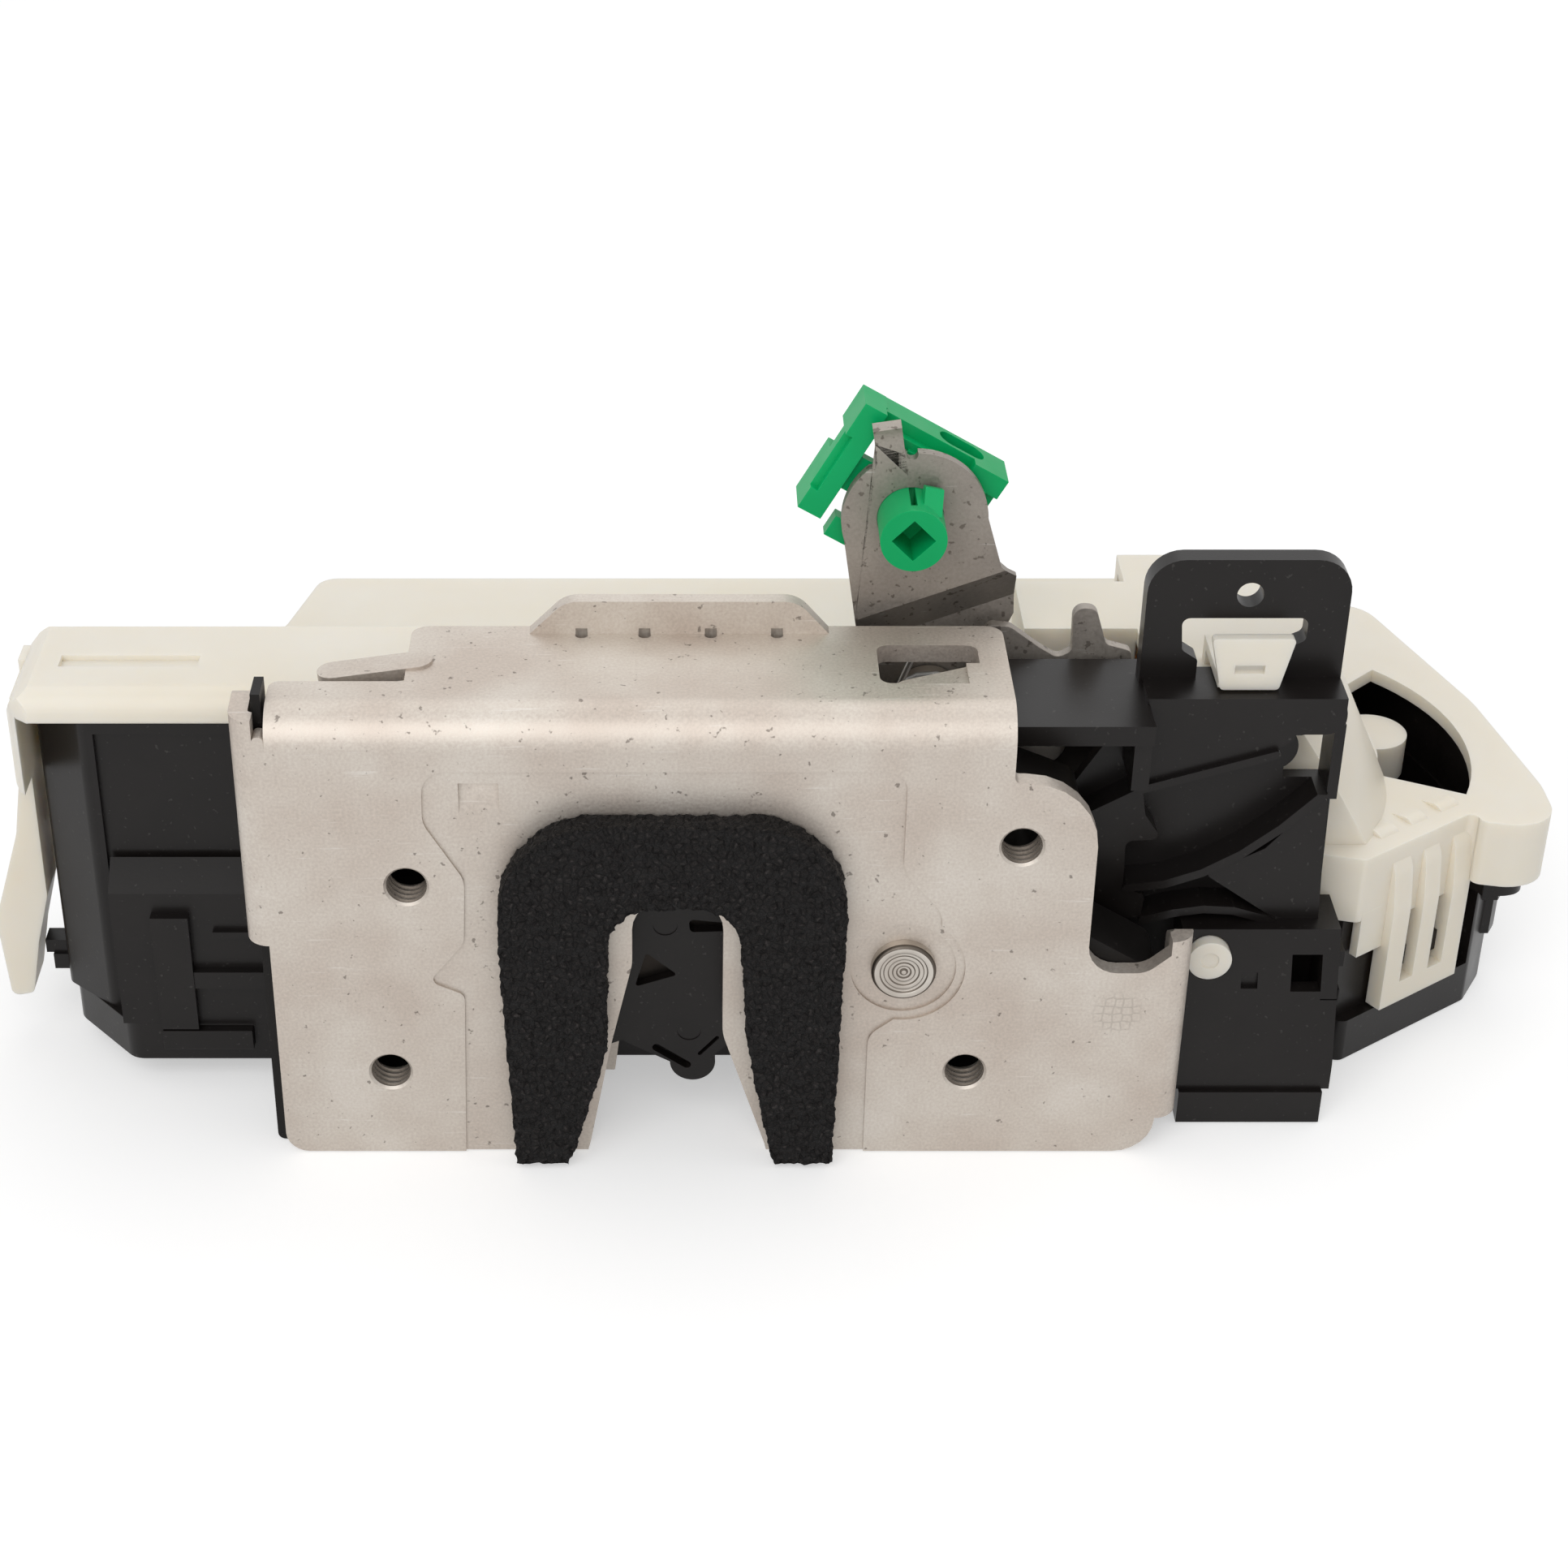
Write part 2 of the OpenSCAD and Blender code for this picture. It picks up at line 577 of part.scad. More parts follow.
// Outside lever's outline as seen from the front
module lever_outline() {
    translate(crown) circle(crown_r);
    polygon([
        [crown[0] - crown_r, crown[1]], [23.4, 61.5], [lever_x - 7, lever_z + 2], [lever_x - 5, lever_z - 4],
        [lever_x + 5, lever_z - 4], [lever_x + 7.4, lever_z + 4], [43.8, 64], [43.5, 70.8], [41.3, 72.8],
        crown + crown_r * [cos(32), sin(32)]]);
    translate([lever_x, lever_z]) circle(7);
}

module outside_release_lever() color(dark_steel) difference() {
    union() {
        intersection() {
            translate([23.6, 0, 64.4]) rotate([0, -lever_reach, 0]) rotate([90, 0, 90])
                translate([0, 0, -30]) linear_extrude(80) joggle_profile();
            upright(lever_y - 1, 12) lever_outline();
        }
        // tongue on the crown, leant forward at its tip
        translate(tongue_foot) rotate([0, -9, 0]) rotate([90, 0, 90]) translate([0, 0, -1.8])
            linear_extrude(3.6) polygon([
                [0, -2.6], [lever_t, -2.6], [lever_t, 2.6], [0.5, 5], [-0.8, 4.4], [0, 2.3]]);
    }
    rod_y(clip_x, clip_z, lever_y - 2, lever_y + 12, clip_r + run);
    rod_y(lever_x, lever_z, lever_y - 2, lever_y + 12, 3 + run);
    for (x = [-2.6, 2.6]) rod_y(tongue_foot[0] + x, tongue_foot[2] + 0.24 * x, lever_y - 2, lever_y + 4, 0.75);
}
// Section of the joggled sheet, across the crease, depth along the second axis
module joggle_profile() {
    polygon(ccw([
        [lever_y, 40], [lever_y + lever_t, 40], [lever_y + lever_t, 0.4], [lever_y + joggle + lever_t, -5.4],
        [lever_y + joggle + lever_t, -30], [lever_y + joggle, -30], [lever_y + joggle, -4.9], [lever_y, 0.9]]));
}

module outside_lever_pin() color(steel) {
    rod_y(lever_x, lever_z, back_plate_y, lower_lever_y + lever_t + 1.3, 3);
    rod_y(lever_x, lever_z, back_plate_end, lower_lever_y - 0.3, 4.4);
    rod_y(lever_x, lever_z, lower_lever_y + lever_t + 0.3, lower_lever_y + lever_t + 1.5, 4.6);
}

module outside_lever_spring() color(dark_steel)
    wire(torsion(lever_x, lever_z, 25.1, 5.6, 0.95, 2.25, 160, 8, 6), 0.42);

module rod_clip() color(green) translate([clip_x, 0, clip_z]) {
    back = lever_y + lever_t + 0.4;
    difference() {
        union() {
            rod_y(0, 0, lever_y - 6.6, back + eps, clip_r);
            rotate([0, clip_tilt, 0]) {
                // body that holds the rod, with its arm, top plate, cheek, web and lugs
                block([-4.6, back, -6], [7, back + 6.6, 7]);
                block([-12.6, back, -6.6], [-9.2, back + 6, 9.8]);
                block([-10, back + 0.8, 6.6], [9, back + 7, 9.4]);
                block([6.4, back + 1.6, -1], [8.8, back + 5.4, 8]);
                block([-10, back + 1, -2], [-4, back + 2.6, 3]);
                block([-7.6, back + 0.4, -8.4], [-4, back + 2.6, -5.4]);
                block([6.4, back, 1.6], [7.8, back + 3, 5.4]);
            }
        }
        // square socket and slit of the barrel
        rotate([0, 45, 0]) block([-1.95, lever_y - 8, -1.95], [1.95, lever_y - 0.5, 1.95]);
        block([-0.4, lever_y - 5, 0], [0.4, lever_y + 1, 8]);
        rotate([0, clip_tilt, 0]) {
            // rod channel, step and round ended hole in the top plate, and the arm's slot
            block([-14, back + 3, 1.4], [12, back + 8, 4.8]);
            block([-9.4, back, 7.9], [4, back + 2.4, 10]);
            translate([0, 0, 6]) linear_extrude(5) bar_2d([0.6, back + 4.6], [4, back + 4.6], 1.6);
            block([-13, back - cut, -3.4], [-11.6, back + 1, 5]);
        }
    }
    // wedge barb on the barrel
    rotate([0, 12, 0]) translate([0, lever_y, 0]) rotate([90, 0, 90]) translate([0, 0, 0.4]) linear_extrude(2.4)
        polygon([[-5.6, 3.4], [-0.6, 3.4], [-0.6, 5.1], [-2.2, 5.6]]);
}

module inside_outline() {
    polygon(rounded([
        [38.8, 60, 1], [40, 64.2, 1], [43, 64, 2], [46.9, 61, 2], [49.4, 59.4, 1.4], [51.2, 60.4, 1],
        [51, 66.8, 1.4], [54, 66.6, 1.4], [55.6, 61.4, 1], [59, 60.4, 1], [59.2, 57.6, 1],
        [inside_x + 4, inside_z, 0], [inside_x - 4, inside_z, 0]]));
}

module inside_release_lever() color(dark_steel) difference() {
    union() {
        upright(lever_y + 0.4, lever_t) inside_outline();
        rod_y(inside_x, inside_z, lever_y + 0.4, lever_y + 0.4 + lever_t, 4);
    }
    rod_y(inside_x, inside_z, lever_y - 2, lever_y + 4, 2.5 + run);
}

module inside_lever_pin() color(steel) {
    rod_y(inside_x, inside_z, lever_y - 1, bay_back - 0.6, 2.5);
    rod_y(inside_x, inside_z, lever_y - 1, lever_y + 0.1, 3.8);
}

module inside_lever_spring() color(dark_steel)
    wire(torsion(inside_x, inside_z, 29.9, 3.3, 0.95, 1.75, 20, 3, 3), 0.42);

// Curved rib of the cable entry: line through points, thick t
module rib_2d(p, t) {
    for (i = [0:len(p) - 2]) bar_2d(p[i], p[i + 1], t / 2);
}

module cable_bracket() color(black) difference() {
    union() {
        // ledge beside the flange, with its thin front lip
        block([42.2, 9.2, 58.4], [59.6, 26.4, 60]);
        block([42.2, 8.6, 57.4], [59.6, 9.8, 60.2]);
        block([57.4, 10, 50], [59.6, 20, 58.6]);
        // back wall of the cable entry
        upright(18.4, 1.9) polygon(rounded([
            [51.4, 8, 1], [51.4, 46, 1], [57.4, 56, 1], [57.4, 60, 0], [84.6, 60, 1], [85.8, 8, 1]]));
        // shelf and the wall under it
        block([59.3, bracket_front, shelf_z - 2], [84.6, ear_y + ear_t, shelf_z]);
        upright(bracket_front, 2) polygon(rounded([
            [59.3, 48.2, 0.4], [76.2, 53.2, 0.6], [79.4, 55.6, 1], [84.9, 55.6, 2.4], [84.6, shelf_z, 2.2], [59.3, shelf_z, 0.4]]));
        // flat with the dagger lug on its left
        upright(bracket_front, 5) difference() {
            polygon(rounded([
                [51.4, 27.5, 0], [51.4, 43, 2], [59.7, 47.8, 0.4], [60.4, 43.6, 0.4], [62.9, 39.8, 0.8],
                [58.2, 39.6, 1], [58.4, 32.2, 1], [61.4, 31.2, 1], [61, 27.5, 0]]));
        }
        // ribs that guide the cable ends
        upright(bracket_front - 0.8, 5.6) rib_2d([[59.4, 47.8], [76.2, 53]], 1.1);
        upright(bracket_front - 0.6, 5.4) rib_2d([for (a = [0:5])
            [58.9 + 4.8 * a, 32.6 + 0.62 * pow(a, 1.95)]], 1.2);
        upright(bracket_front - 0.6, 5.4) rib_2d([for (a = [0:6])
            [61.4 + 3.9 * a, 27.6 + 3.6 * sin(30 * a) - 0.72 * a]], 1.2);
        // flat triangle and right post
        upright(bracket_front, 5) polygon(rounded([
            [69, 34.4, 0.5], [76.4, 38.4, 0], [83.6, 47, 0.6], [84.8, 23.2, 0.6]]));
        block([83.4, bracket_front, 46], [84.8, ear_y, 57]);
        // lower block and its foot
        translate([66.4, 0, 0]) rotate([90, 0, 90]) difference() {
            linear_extrude(20.8) polygon([
                [block_front, 5], [20.3, 5], [20.3, block_top], [block_back, block_top], [block_front, 9]]);
            translate([0, 0, 1.8]) linear_extrude(17.2) polygon([
                [block_front + wall, 4], [18.4, 4], [18.4, block_top - wall], [block_back + wall, block_top - wall],
                [block_front + wall, 9]]);
        }
        // lugs on its right side
        for (z = [8.4, 14.6, 20.8]) block([87.2 - eps, 13, z], [88.4, 17, z + 2.4]);
        block([60, 18.4, 0.6], [86.4, 20.3, 12]);
        difference() {
            block([67, block_front - 0.8, 0], [86.2, 20.3, 5]);
            block([68.8, block_front + 1, -cut], [84.4, 18.4, 5 + cut]);
        }
        // ear with rounded crown
        upright(ear_y, ear_t) polygon(rounded([
            [58.9, 58.8, 0], [58.9, shelf_z + ear_h, 4.6], [84.6, shelf_z + ear_h, 4.6], [84.6, 58.8, 0]], 8));
    }
    rod_y(71.9, shelf_z + 11.9, ear_y - cut, ear_y + ear_t + cut, ear_hole_r);
    // window of the snap hook
    upright(ear_y - cut, ear_t + 2 * cut) polygon(rounded([
        [66.1, shelf_z, 0], [66.1, 63.4, 0.6], [64, 64.8, 0.8], [63.6, 69.4, 1], [79.6, 69.4, 1],
        [79.6, 66.2, 1], [77, 65, 0.8], [77, shelf_z, 0]]));
    // cut-out at the right end
    upright(bracket_front - cut, 8) difference() {
        translate([78.4, 47]) square([5, 8.5]);
        translate([76.6, 51.4]) circle(3.4);
    }
    // socket in the face and windows in the lower block
    rod_y(stake[0], stake[1], stake_y - 2, stake_y + 1.4, 3);
    block([81, block_front - cut, 19], [85, block_back + wall, 24]);
    block([74.4, block_front - cut, 19.4], [76.6, block_front + 3.6, 21.6]);
    block([85, 9.4, 8], [87.2 + cut, 13.4, 12]);
    block([85, 9.4, 15], [87.2 + cut, 13.4, 18]);
}

module stake_post() color(nylon) difference() {
    rod_y(stake[0], stake[1], stake_y - 0.9, stake_y + 1.4, 2.9);
    rod_y(stake[0], stake[1], stake_y - cut, stake_y - 0.6, 1.2);
}

// Corners of the round lobe's lid, and of the base's wall below it
lid_plan = [[56, 23, 0], [86, 21.4, 2], [91.4, 20, 1], [108.7, 32.3, 1], [109, 29.6, 1.6], [113.8, 28.6, 6],
    [119.4, 30, 5], [119.4, 39, 18], [115.2, 62, 30], [104.8, 92.4, 6], [72, 92.4, 8], [43.4, 80.4, 8],
    [42.4, 60, 0], [56, 60, 0]];
base_plan = [[56, 24, 0], [86, 22.6, 2], [diag_x, diag_y, 1.5], [112, 34.4, 2], [116.4, 42, 6], [112.6, 62, 20],
    [102.4, 90, 6], [74, 90, 8], [46.5, 78.4, 8], [45, 60, 0], [56, 60, 0]];
// Corners of the wing and middle, under the ridge and under the deck
ridge_plan = [[box_left, wing_front + 6, 2], [box_left + 7, wing_front, 2], [wing_right, wing_front, 0],
    [wing_right, box_front, 0], [bay_left, box_front, 0], [bay_left, ridge_back - wall, 0],
    [box_left, ridge_back - wall, 0]];
deck_plan = [[box_left, ridge_back - wall - 1, 0], [bay_left, ridge_back - wall - 1, 0], [bay_left, bay_back, 0],
    [bay_right, bay_back, 0], [bay_right, box_back, 0], [-50, box_back, 3], [-54, wing_back, 3], [box_left, wing_back, 3]];

// Frame of the diagonal front wall: first axis along it, second into the box
module diagonal() {
    translate([diag_x, diag_y, 0]) rotate(diag_turn) children();
}

module base_outer() {
    difference() {
        level(seam_z, ridge_top - wall - seam_z) polygon(rounded(ridge_plan));
        // corner under the rounded end of the ridge, and the edge behind the cover's rim
        upright(0, 60) polygon([
            [box_left - cut, ridge_top - 8.5], [box_left + 6.5, ridge_top], [box_left - cut, ridge_top]]);
        block([wing_right - 1, box_front - cut, rim_z - fit], [bay_left + cut, wing_front, ridge_top]);
        translate([box_left - cut, 0, 0]) rotate([90, 0, 90]) linear_extrude(bay_left - box_left + 2 * cut) polygon([
            [wing_front - 1, ridge_top - 4.1], [wing_front + 3.2, ridge_top - 1], [wing_front - 1, ridge_top - 1]]);
    }
    level(seam_z, deck_top - wall - seam_z) polygon(rounded(deck_plan));
    block([bay_left - eps, bay_back - eps, 0], [bay_right, box_back, seam_z + cut]);
    // box under the lever bay, stepped back behind the bracket
    block([bay_left - eps, box_front, 0], [bay_step, bay_back, bay_floor]);
    block([bay_step - cut, ear_y + 0.6, 0], [bay_right, bay_back, bay_floor]);
    // lobe, stepped out towards the lid's corner
    difference() {
        union() {
            level(0, lobe_top - rim_h - 0.1) polygon(rounded(base_plan));
            level(9, lobe_top - rim_h - 9.1) intersection() {
                polygon(rounded(inset(base_plan, -1)));
                translate([104, 38]) square([40, 80]);
            }
            level(16, lobe_top - rim_h - 16.1) intersection() {
                polygon(rounded(inset(base_plan, -1.9)));
                translate([104, 36]) square([40, 80]);
            }
        }
        diagonal() block([-4, -4, 6.6], [24.6, 1.8, 40]);
    }
    level(lobe_top - rim_h - 3, rim_h + 3 - wall) polygon(rounded(inset(lid_plan, wall + fit)));
}

module base_cavity() {
    level(seam_z + wall, 60) {
        polygon(rounded(inset(ridge_plan, wall)));
        polygon(rounded(inset(deck_plan, wall)));
    }
    block([box_left + wall, ridge_back - 4, seam_z + wall], [bay_left - wall, ridge_back + 1, 60]);
    block([bay_left + wall, bay_back + wall, wall], [bay_right + cut, box_back - wall, 60]);
    block([bay_left + wall, box_front + wall, wall], [bay_step - wall, bay_back + wall + eps, bay_floor - wall]);
    block([bay_step - wall - cut, ear_y + 0.6 + wall, wall], [bay_right - wall, bay_back + wall + eps, bay_floor - wall]);
    block([bay_left - 4, bay_back + wall, seam_z + wall], [bay_left + 4, box_back - wall, 60]);
    block([50, box_back - wall - cut, wall], [bay_right + cut, box_back + cut, lobe_top - wall - 0.75]);
    level(wall, lobe_top - rim_h - 2 * wall) difference() {
        polygon(rounded(inset(base_plan, wall)));
        translate([diag_x, diag_y]) rotate(diag_turn) translate([-4, -4]) square([28.6, 7.8]);
    }
    level(lobe_top - rim_h - wall - eps, rim_h + cut) polygon(rounded(inset(lid_plan, 2 * wall + fit)));
}

module actuator_base() color(black) {
    difference() {
        base_outer();
        base_cavity();
        // recessed panel of the left wing
        block([box_left + 8.6, wing_front - cut, 30], [wing_right - 0.6, wing_front + 0.9, 53]);
        // socket through the back wall
        block([-74, wing_back - wall - cut, 18], [-58, wing_back + cut, 32]);
        for (p = screws()) rod_z(p[0], p[1], seam_z - cut, seam_z + wall + cut, 1.25);
        // room for the last rib of the snap frame and for the rim beside it
        diagonal() block([17.2, -2, 6.8], [20.9, 1.45, 15.2]);
        block([110.8, 30.6, 22.8], [111.3, 31.5, 31.2]);
    }
    // proud lower shell of the wing with its sloped top, strap and rails
    translate([box_left + 9, 0, 0]) rotate([90, 0, 90]) linear_extrude(wing_right - 0.4 - box_left - 9)
        polygon([
            [wing_front + eps, seam_z], [wing_front + eps, 34.2], [wing_front - 4, 31], [wing_front - 4, seam_z]]);
    block([-69.6, wing_front - 5.4, seam_z], [-64.6, wing_front - 4 + eps, 28]);
    block([-64.7, wing_front - 5.2, seam_z + 6.6], [wing_right - 0.4, wing_front - 4 + eps, seam_z + 9.2]);
    block([-61.6, wing_front - 4.8, 24.4], [wing_right - 0.4, wing_front - 4 + eps, 25.4]);
    // ribs on the left end, and the lug that the cover's leg snaps over
    for (z = [20, 30, 40]) block([box_left - 0.9, wing_front + 16, z], [box_left + eps, wing_front + 25, z + 1.4]);
    block([box_left - 2.2, wing_front + 7.5, seam_z + 1], [box_left + eps, wing_front + 11.5, seam_z + 3.4]);
    block([box_left - 3.2, wing_front + 8, seam_z + 3.4 - eps], [box_left + eps, wing_front + 11, seam_z + 5.4]);
    // connector shroud
    difference() {
        block([-76, wing_back - eps, 16], [-56, wing_back + 13, 34]);
        block([-74, wing_back - wall - cut, 18], [-58, wing_back + 13 + cut, 32]);
    }
    // boss of the inside lever's pin
    difference() {
        union() {
            rod_y(inside_x, inside_z, bay_back - 4, bay_back, 4.2);
            block([inside_x - 1.2, bay_back - 4, bay_floor - 0.1], [inside_x + 1.2, bay_back, inside_z - 3.4]);
        }
        rod_y(inside_x, inside_z, bay_back - 4 - cut, bay_back - 0.5, 2.52);
    }
    // posts of the screws, circuit carrier and axles, and the motor's cradle
    for (p = screws()) difference() {
        rod_z(p[0], p[1], seam_z + eps, carrier_z, 3);
        rod_z(p[0], p[1], seam_z - cut, seam_z + 9, 1.25);
    }
    difference() {
        rod_z(wheel_x, wheel_y, wall - eps, 15.6, 4);
        rod_z(wheel_x, wheel_y, 6, 16, 1.52);
    }
    difference() {
        rod_z(lock_x, lock_y, wall - eps, 22.6, 5);
        rod_z(lock_x, lock_y, 8, 23, 2.02);
    }
    for (x = [motor_end - motor_len + 3, motor_end - 5]) difference() {
        block([x, worm_y - motor_r, wall - eps], [x + 2, worm_y + motor_r, worm_z]);
        rod_x(worm_y, worm_z, x - cut, x + 3, motor_r + 0.15);
    }
    // catches for the cover's snap frame
    diagonal() {
        block([9.4, 0.3, 11.8], [11.2, 1.81, 15]);
        block([15, 0.3, 11.8], [17.6, 1.81, 15]);
    }
}

// Places of the lower cover's screws, x and y
function screws() = [[-70, 36], [-20, 26], [-20, 56], [4, 56]];

module lower_cover() color(black) difference() {
    union() {
        difference() {
            level(shell_low, seam_z - shell_low) polygon(rounded([
                [box_left + 1, wing_front + 6, 3], [box_left + 10, wing_front - 4, 3], [wing_right - 0.4, wing_front - 4, 0],
                [wing_right - 0.4, box_front, 0], [bay_left - 0.2, box_front, 0], [bay_left - 0.2, box_back, 0],
                [-50, box_back, 3], [-54, wing_back, 0], [box_left + 1, wing_back, 3]]));
            level(shell_low + wall, seam_z) polygon(rounded([
                [box_left + 1 + wall, wing_front + 7, 2], [box_left + 11, wing_front - 4 + wall, 1],
                [wing_right - 0.4 - wall, wing_front - 4 + wall, 0], [wing_right - 0.4 - wall, box_front + wall, 0],
                [bay_left - 0.2 - wall, box_front + wall, 0], [bay_left - 0.2 - wall, box_back - wall, 0],
                [-49, box_back - wall, 0], [-53, wing_back - wall, 0], [box_left + 1 + wall, wing_back - wall, 0]]));
        }
        for (p = screws()) rod_z(p[0], p[1], shell_low, seam_z, 4);
        // foot of the strap over the seam
        block([-69.6, wing_front - 5.4, shell_low + 2.6], [-57.4, wing_front - 4 + eps, seam_z - 0.3]);
    }
    for (p = screws()) {
        rod_z(p[0], p[1], shell_low - cut, seam_z + cut, 1.7);
        rod_z(p[0], p[1], shell_low - cut, shell_low + 2.6, 3.2);
    }
}

module cover_screws() color(steel) for (p = screws()) difference() {
    union() {
        rod_z(p[0], p[1], shell_low + 0.5, shell_low + 2.6, 3);
        rod_z(p[0], p[1], shell_low + 2.6 - eps, seam_z + 8, 1.2);
    }
    rod_z(p[0], p[1], shell_low + 0.4, shell_low + 1.7, 1.3);
}

// Round mound over the lever end of the cover, shrunk by g
module cover_mound(g) {
    intersection() {
        translate([62, 44, lobe_top - 6]) cylinder(r1 = 39 - g, r2 = 24 - g, h = ridge_top - 1 - g - lobe_top + 6);
        block([bay_right - 1, 24 + g, lobe_top - 7], [110, 58 - g, 70]);
    }
}

// Ridge of the cover from height low, shrunk by g: bullnosed, and rounded at its left end
module ridge(g, low) {
    x0 = box_left - 3 + g;
    x1 = bay_left + fit + wall - g;
    y0 = wing_front - wall - fit + g;
    top = ridge_top - g;
    intersection() {
        translate([x0 - 1, 0, 0]) rotate([90, 0, 90]) linear_extrude(x1 - x0 + 1) polygon(rounded([
            [y0, low, 0.3], [ridge_back - g, low, 0], [ridge_back - g, top, g > 0 ? 0 : 1], [y0, top, 3.4 - g]]));
        level(low - 1, 40) polygon(rounded([
            [x0, ridge_back + 1, 0], [x0, y0 - 1, 8 - g], [x1 + 1, y0 - 1, 0], [x1 + 1, ridge_back + 1, 0]]));
        upright(0, 60) polygon(rounded([
            [x0, low - 1, 0], [x1 + 1, low - 1, 0], [x1 + 1, top + 1, 0], [x0, top + 1, 8 - g]]));
    }
}

// Outer solid of the cover
module cover_solid() {
    ridge(0, rim_z);
    // left end wall that carries the leg
    intersection() {
        ridge(0, deck_top - 6);
        block([box_left - 5, 0, 0], [box_left - 1, 90, ridge_top]);
    }
    // deck
    level(deck_top - 6, 6) polygon(rounded([
        [box_left - 3, ridge_back - 4, 0], [bay_left, ridge_back - 4, 0], [bay_left, bay_back, 0],
        [bay_right + 3, bay_back, 0], [bay_right + 3, box_back + wall + fit, 0],
        [-51, box_back + wall + fit, 3], [-55, wing_back + wall + fit, 3], [box_left - 3, wing_back + wall + fit, 3]]));
    block([box_left - 3, ridge_back - 4, deck_top - 1], [bay_left, ridge_back - eps, rim_z + 1]);
    // right end of the deck, down to the lid
    block([bay_right + fit, bay_back, lobe_top - wall], [bay_right + 3, box_back + wall + fit, deck_top]);
    // raised box beside the levers
    block([46, bay_back, deck_top - 1], [bay_right + 4, 50, ridge_top - 1]);
    cover_mound(0);
    level(lobe_top - rim_h, rim_h) polygon(rounded(lid_plan));
}

// Hollow of the cover
module cover_hollow() {
    ridge(wall, rim_z - 2);
    level(deck_top - 9, 9 - wall) polygon(rounded([
        [box_left - fit, wing_front - fit, 0], [bay_left + fit, wing_front - fit, 0],
        [bay_left + fit, bay_back - cut, 0], [bay_right + fit, bay_back - cut, 0],
        [bay_right + fit, box_back + fit, 0], [-50, box_back + fit, 3.2], [-54, wing_back + fit, 2.7],
        [box_left - fit, wing_back + fit, 0]]));
    block([box_left - fit, wing_front + 8, deck_top - 3], [bay_left + fit, ridge_back - wall, rim_z + 1]);
    block([48, bay_back + wall, deck_top - 4], [bay_right + 5, 48, ridge_top - 3]);
    cover_mound(wall);
    level(lobe_top - rim_h - cut, rim_h - wall + cut) polygon(rounded(inset(lid_plan, wall)));
}

// Snap frame over the diagonal wall: ribs that run down from the lid to a bar
module snap_frame() {
    diagonal() {
        difference() {
            block([0.8, 0.2, 17], [20.8, 1.5, lobe_top - rim_h + 1]);
            for (u = [9, 14.6]) block([u, 0, 10], [u + (u < 10 ? 2.6 : 2.8), 2, 21]);
        }
        block([5.6, -1.2, 7], [20.8, 1.2, 10.4]);
        for (u = [[5.6, 3.4], [11.6, 3], [17.4, 3.4]]) translate([u[0], 0, 0]) rotate([90, 0, 90]) linear_extrude(u[1])
            polygon(rounded([
                [-1.2, 7, 0.6], [1.3, 7, 0], [1.3, lobe_top - rim_h, 0], [2, lobe_top - rim_h, 0],
                [2, lobe_top - 1, 0], [6.5, lobe_top - 1, 0], [6.5, lobe_top, 0], [3.6, lobe_top + 0.8, 2],
                [-0.4, lobe_top - 3, 5], [-1.2, lobe_top - rim_h, 8]]));
    }
}

module actuator_cover() color(nylon) {
    difference() {
        cover_solid();
        cover_hollow();
        // keep the lid's rim off the bracket and the base's deck box
        block([bay_left + 3, 0, 20], [bay_right + 22, ear_y + ear_t + 0.6, 80]);
        block([40, 20, lobe_top - rim_h - cut], [bay_right + fit, box_back + fit, deck_top - 7]);
        block([59, 20, lobe_top - 6], [bay_right, bay_back, deck_top]);
        // arc window over the lock lever's boss
        translate([lock_x, lock_y, lobe_top - 4]) linear_extrude(8) difference() {
            intersection() {
                circle(31.4);
                polygon([[0, 0], 60 * [cos(-25), sin(-25)], 60 * [cos(12), sin(12)], 60 * [cos(44), sin(44)]]);
            }
            circle(18.6);
        }
        // groove along the ridge
        block([box_left + 4, wing_front + 5.4, ridge_top - 0.8], [-62, wing_front + 8.4, ridge_top + cut]);
    }
    // long leg that snaps over the left end of the base
    translate([0, wing_front + 13, 0]) rotate([90, 0, 0]) linear_extrude(7)
        polygon(rounded([
            [box_left - 3, ridge_top - 5, 0], [box_left - 1.4, ridge_top - 5, 0], [box_left - 1.6, 24, 3],
            [box_left - 3.6, 16.4, 1], [box_left - 5.2, 8, 0.8], [box_left - 8.2, 7.4, 1], [box_left - 9, 20, 4],
            [box_left - 4.6, 34, 8], [box_left - 3, 44, 6]]));
    // hook through the bracket's ear
    block([68.4, 17.4, shelf_z + 0.3], [76.2, 27, shelf_z + 1.7]);
    block([68.4, 26.9, ridge_top - 3], [76.2, 28.6, shelf_z + 1.7]);
    upright(16.3, 1.4) difference() {
        polygon(rounded([
            [67, shelf_z + 7.6, 0.5], [68.6, shelf_z + 0.3, 0.6], [76, shelf_z + 0.3, 0.6],
            [77.6, shelf_z + 7.6, 0.5]]));
        translate([70.2, shelf_z + 2.6]) square([3.8, 1.2]);
    }
    block([68.4, 17, shelf_z + 0.3], [76.2, 18, shelf_z + 1.7]);
    snap_frame();
}

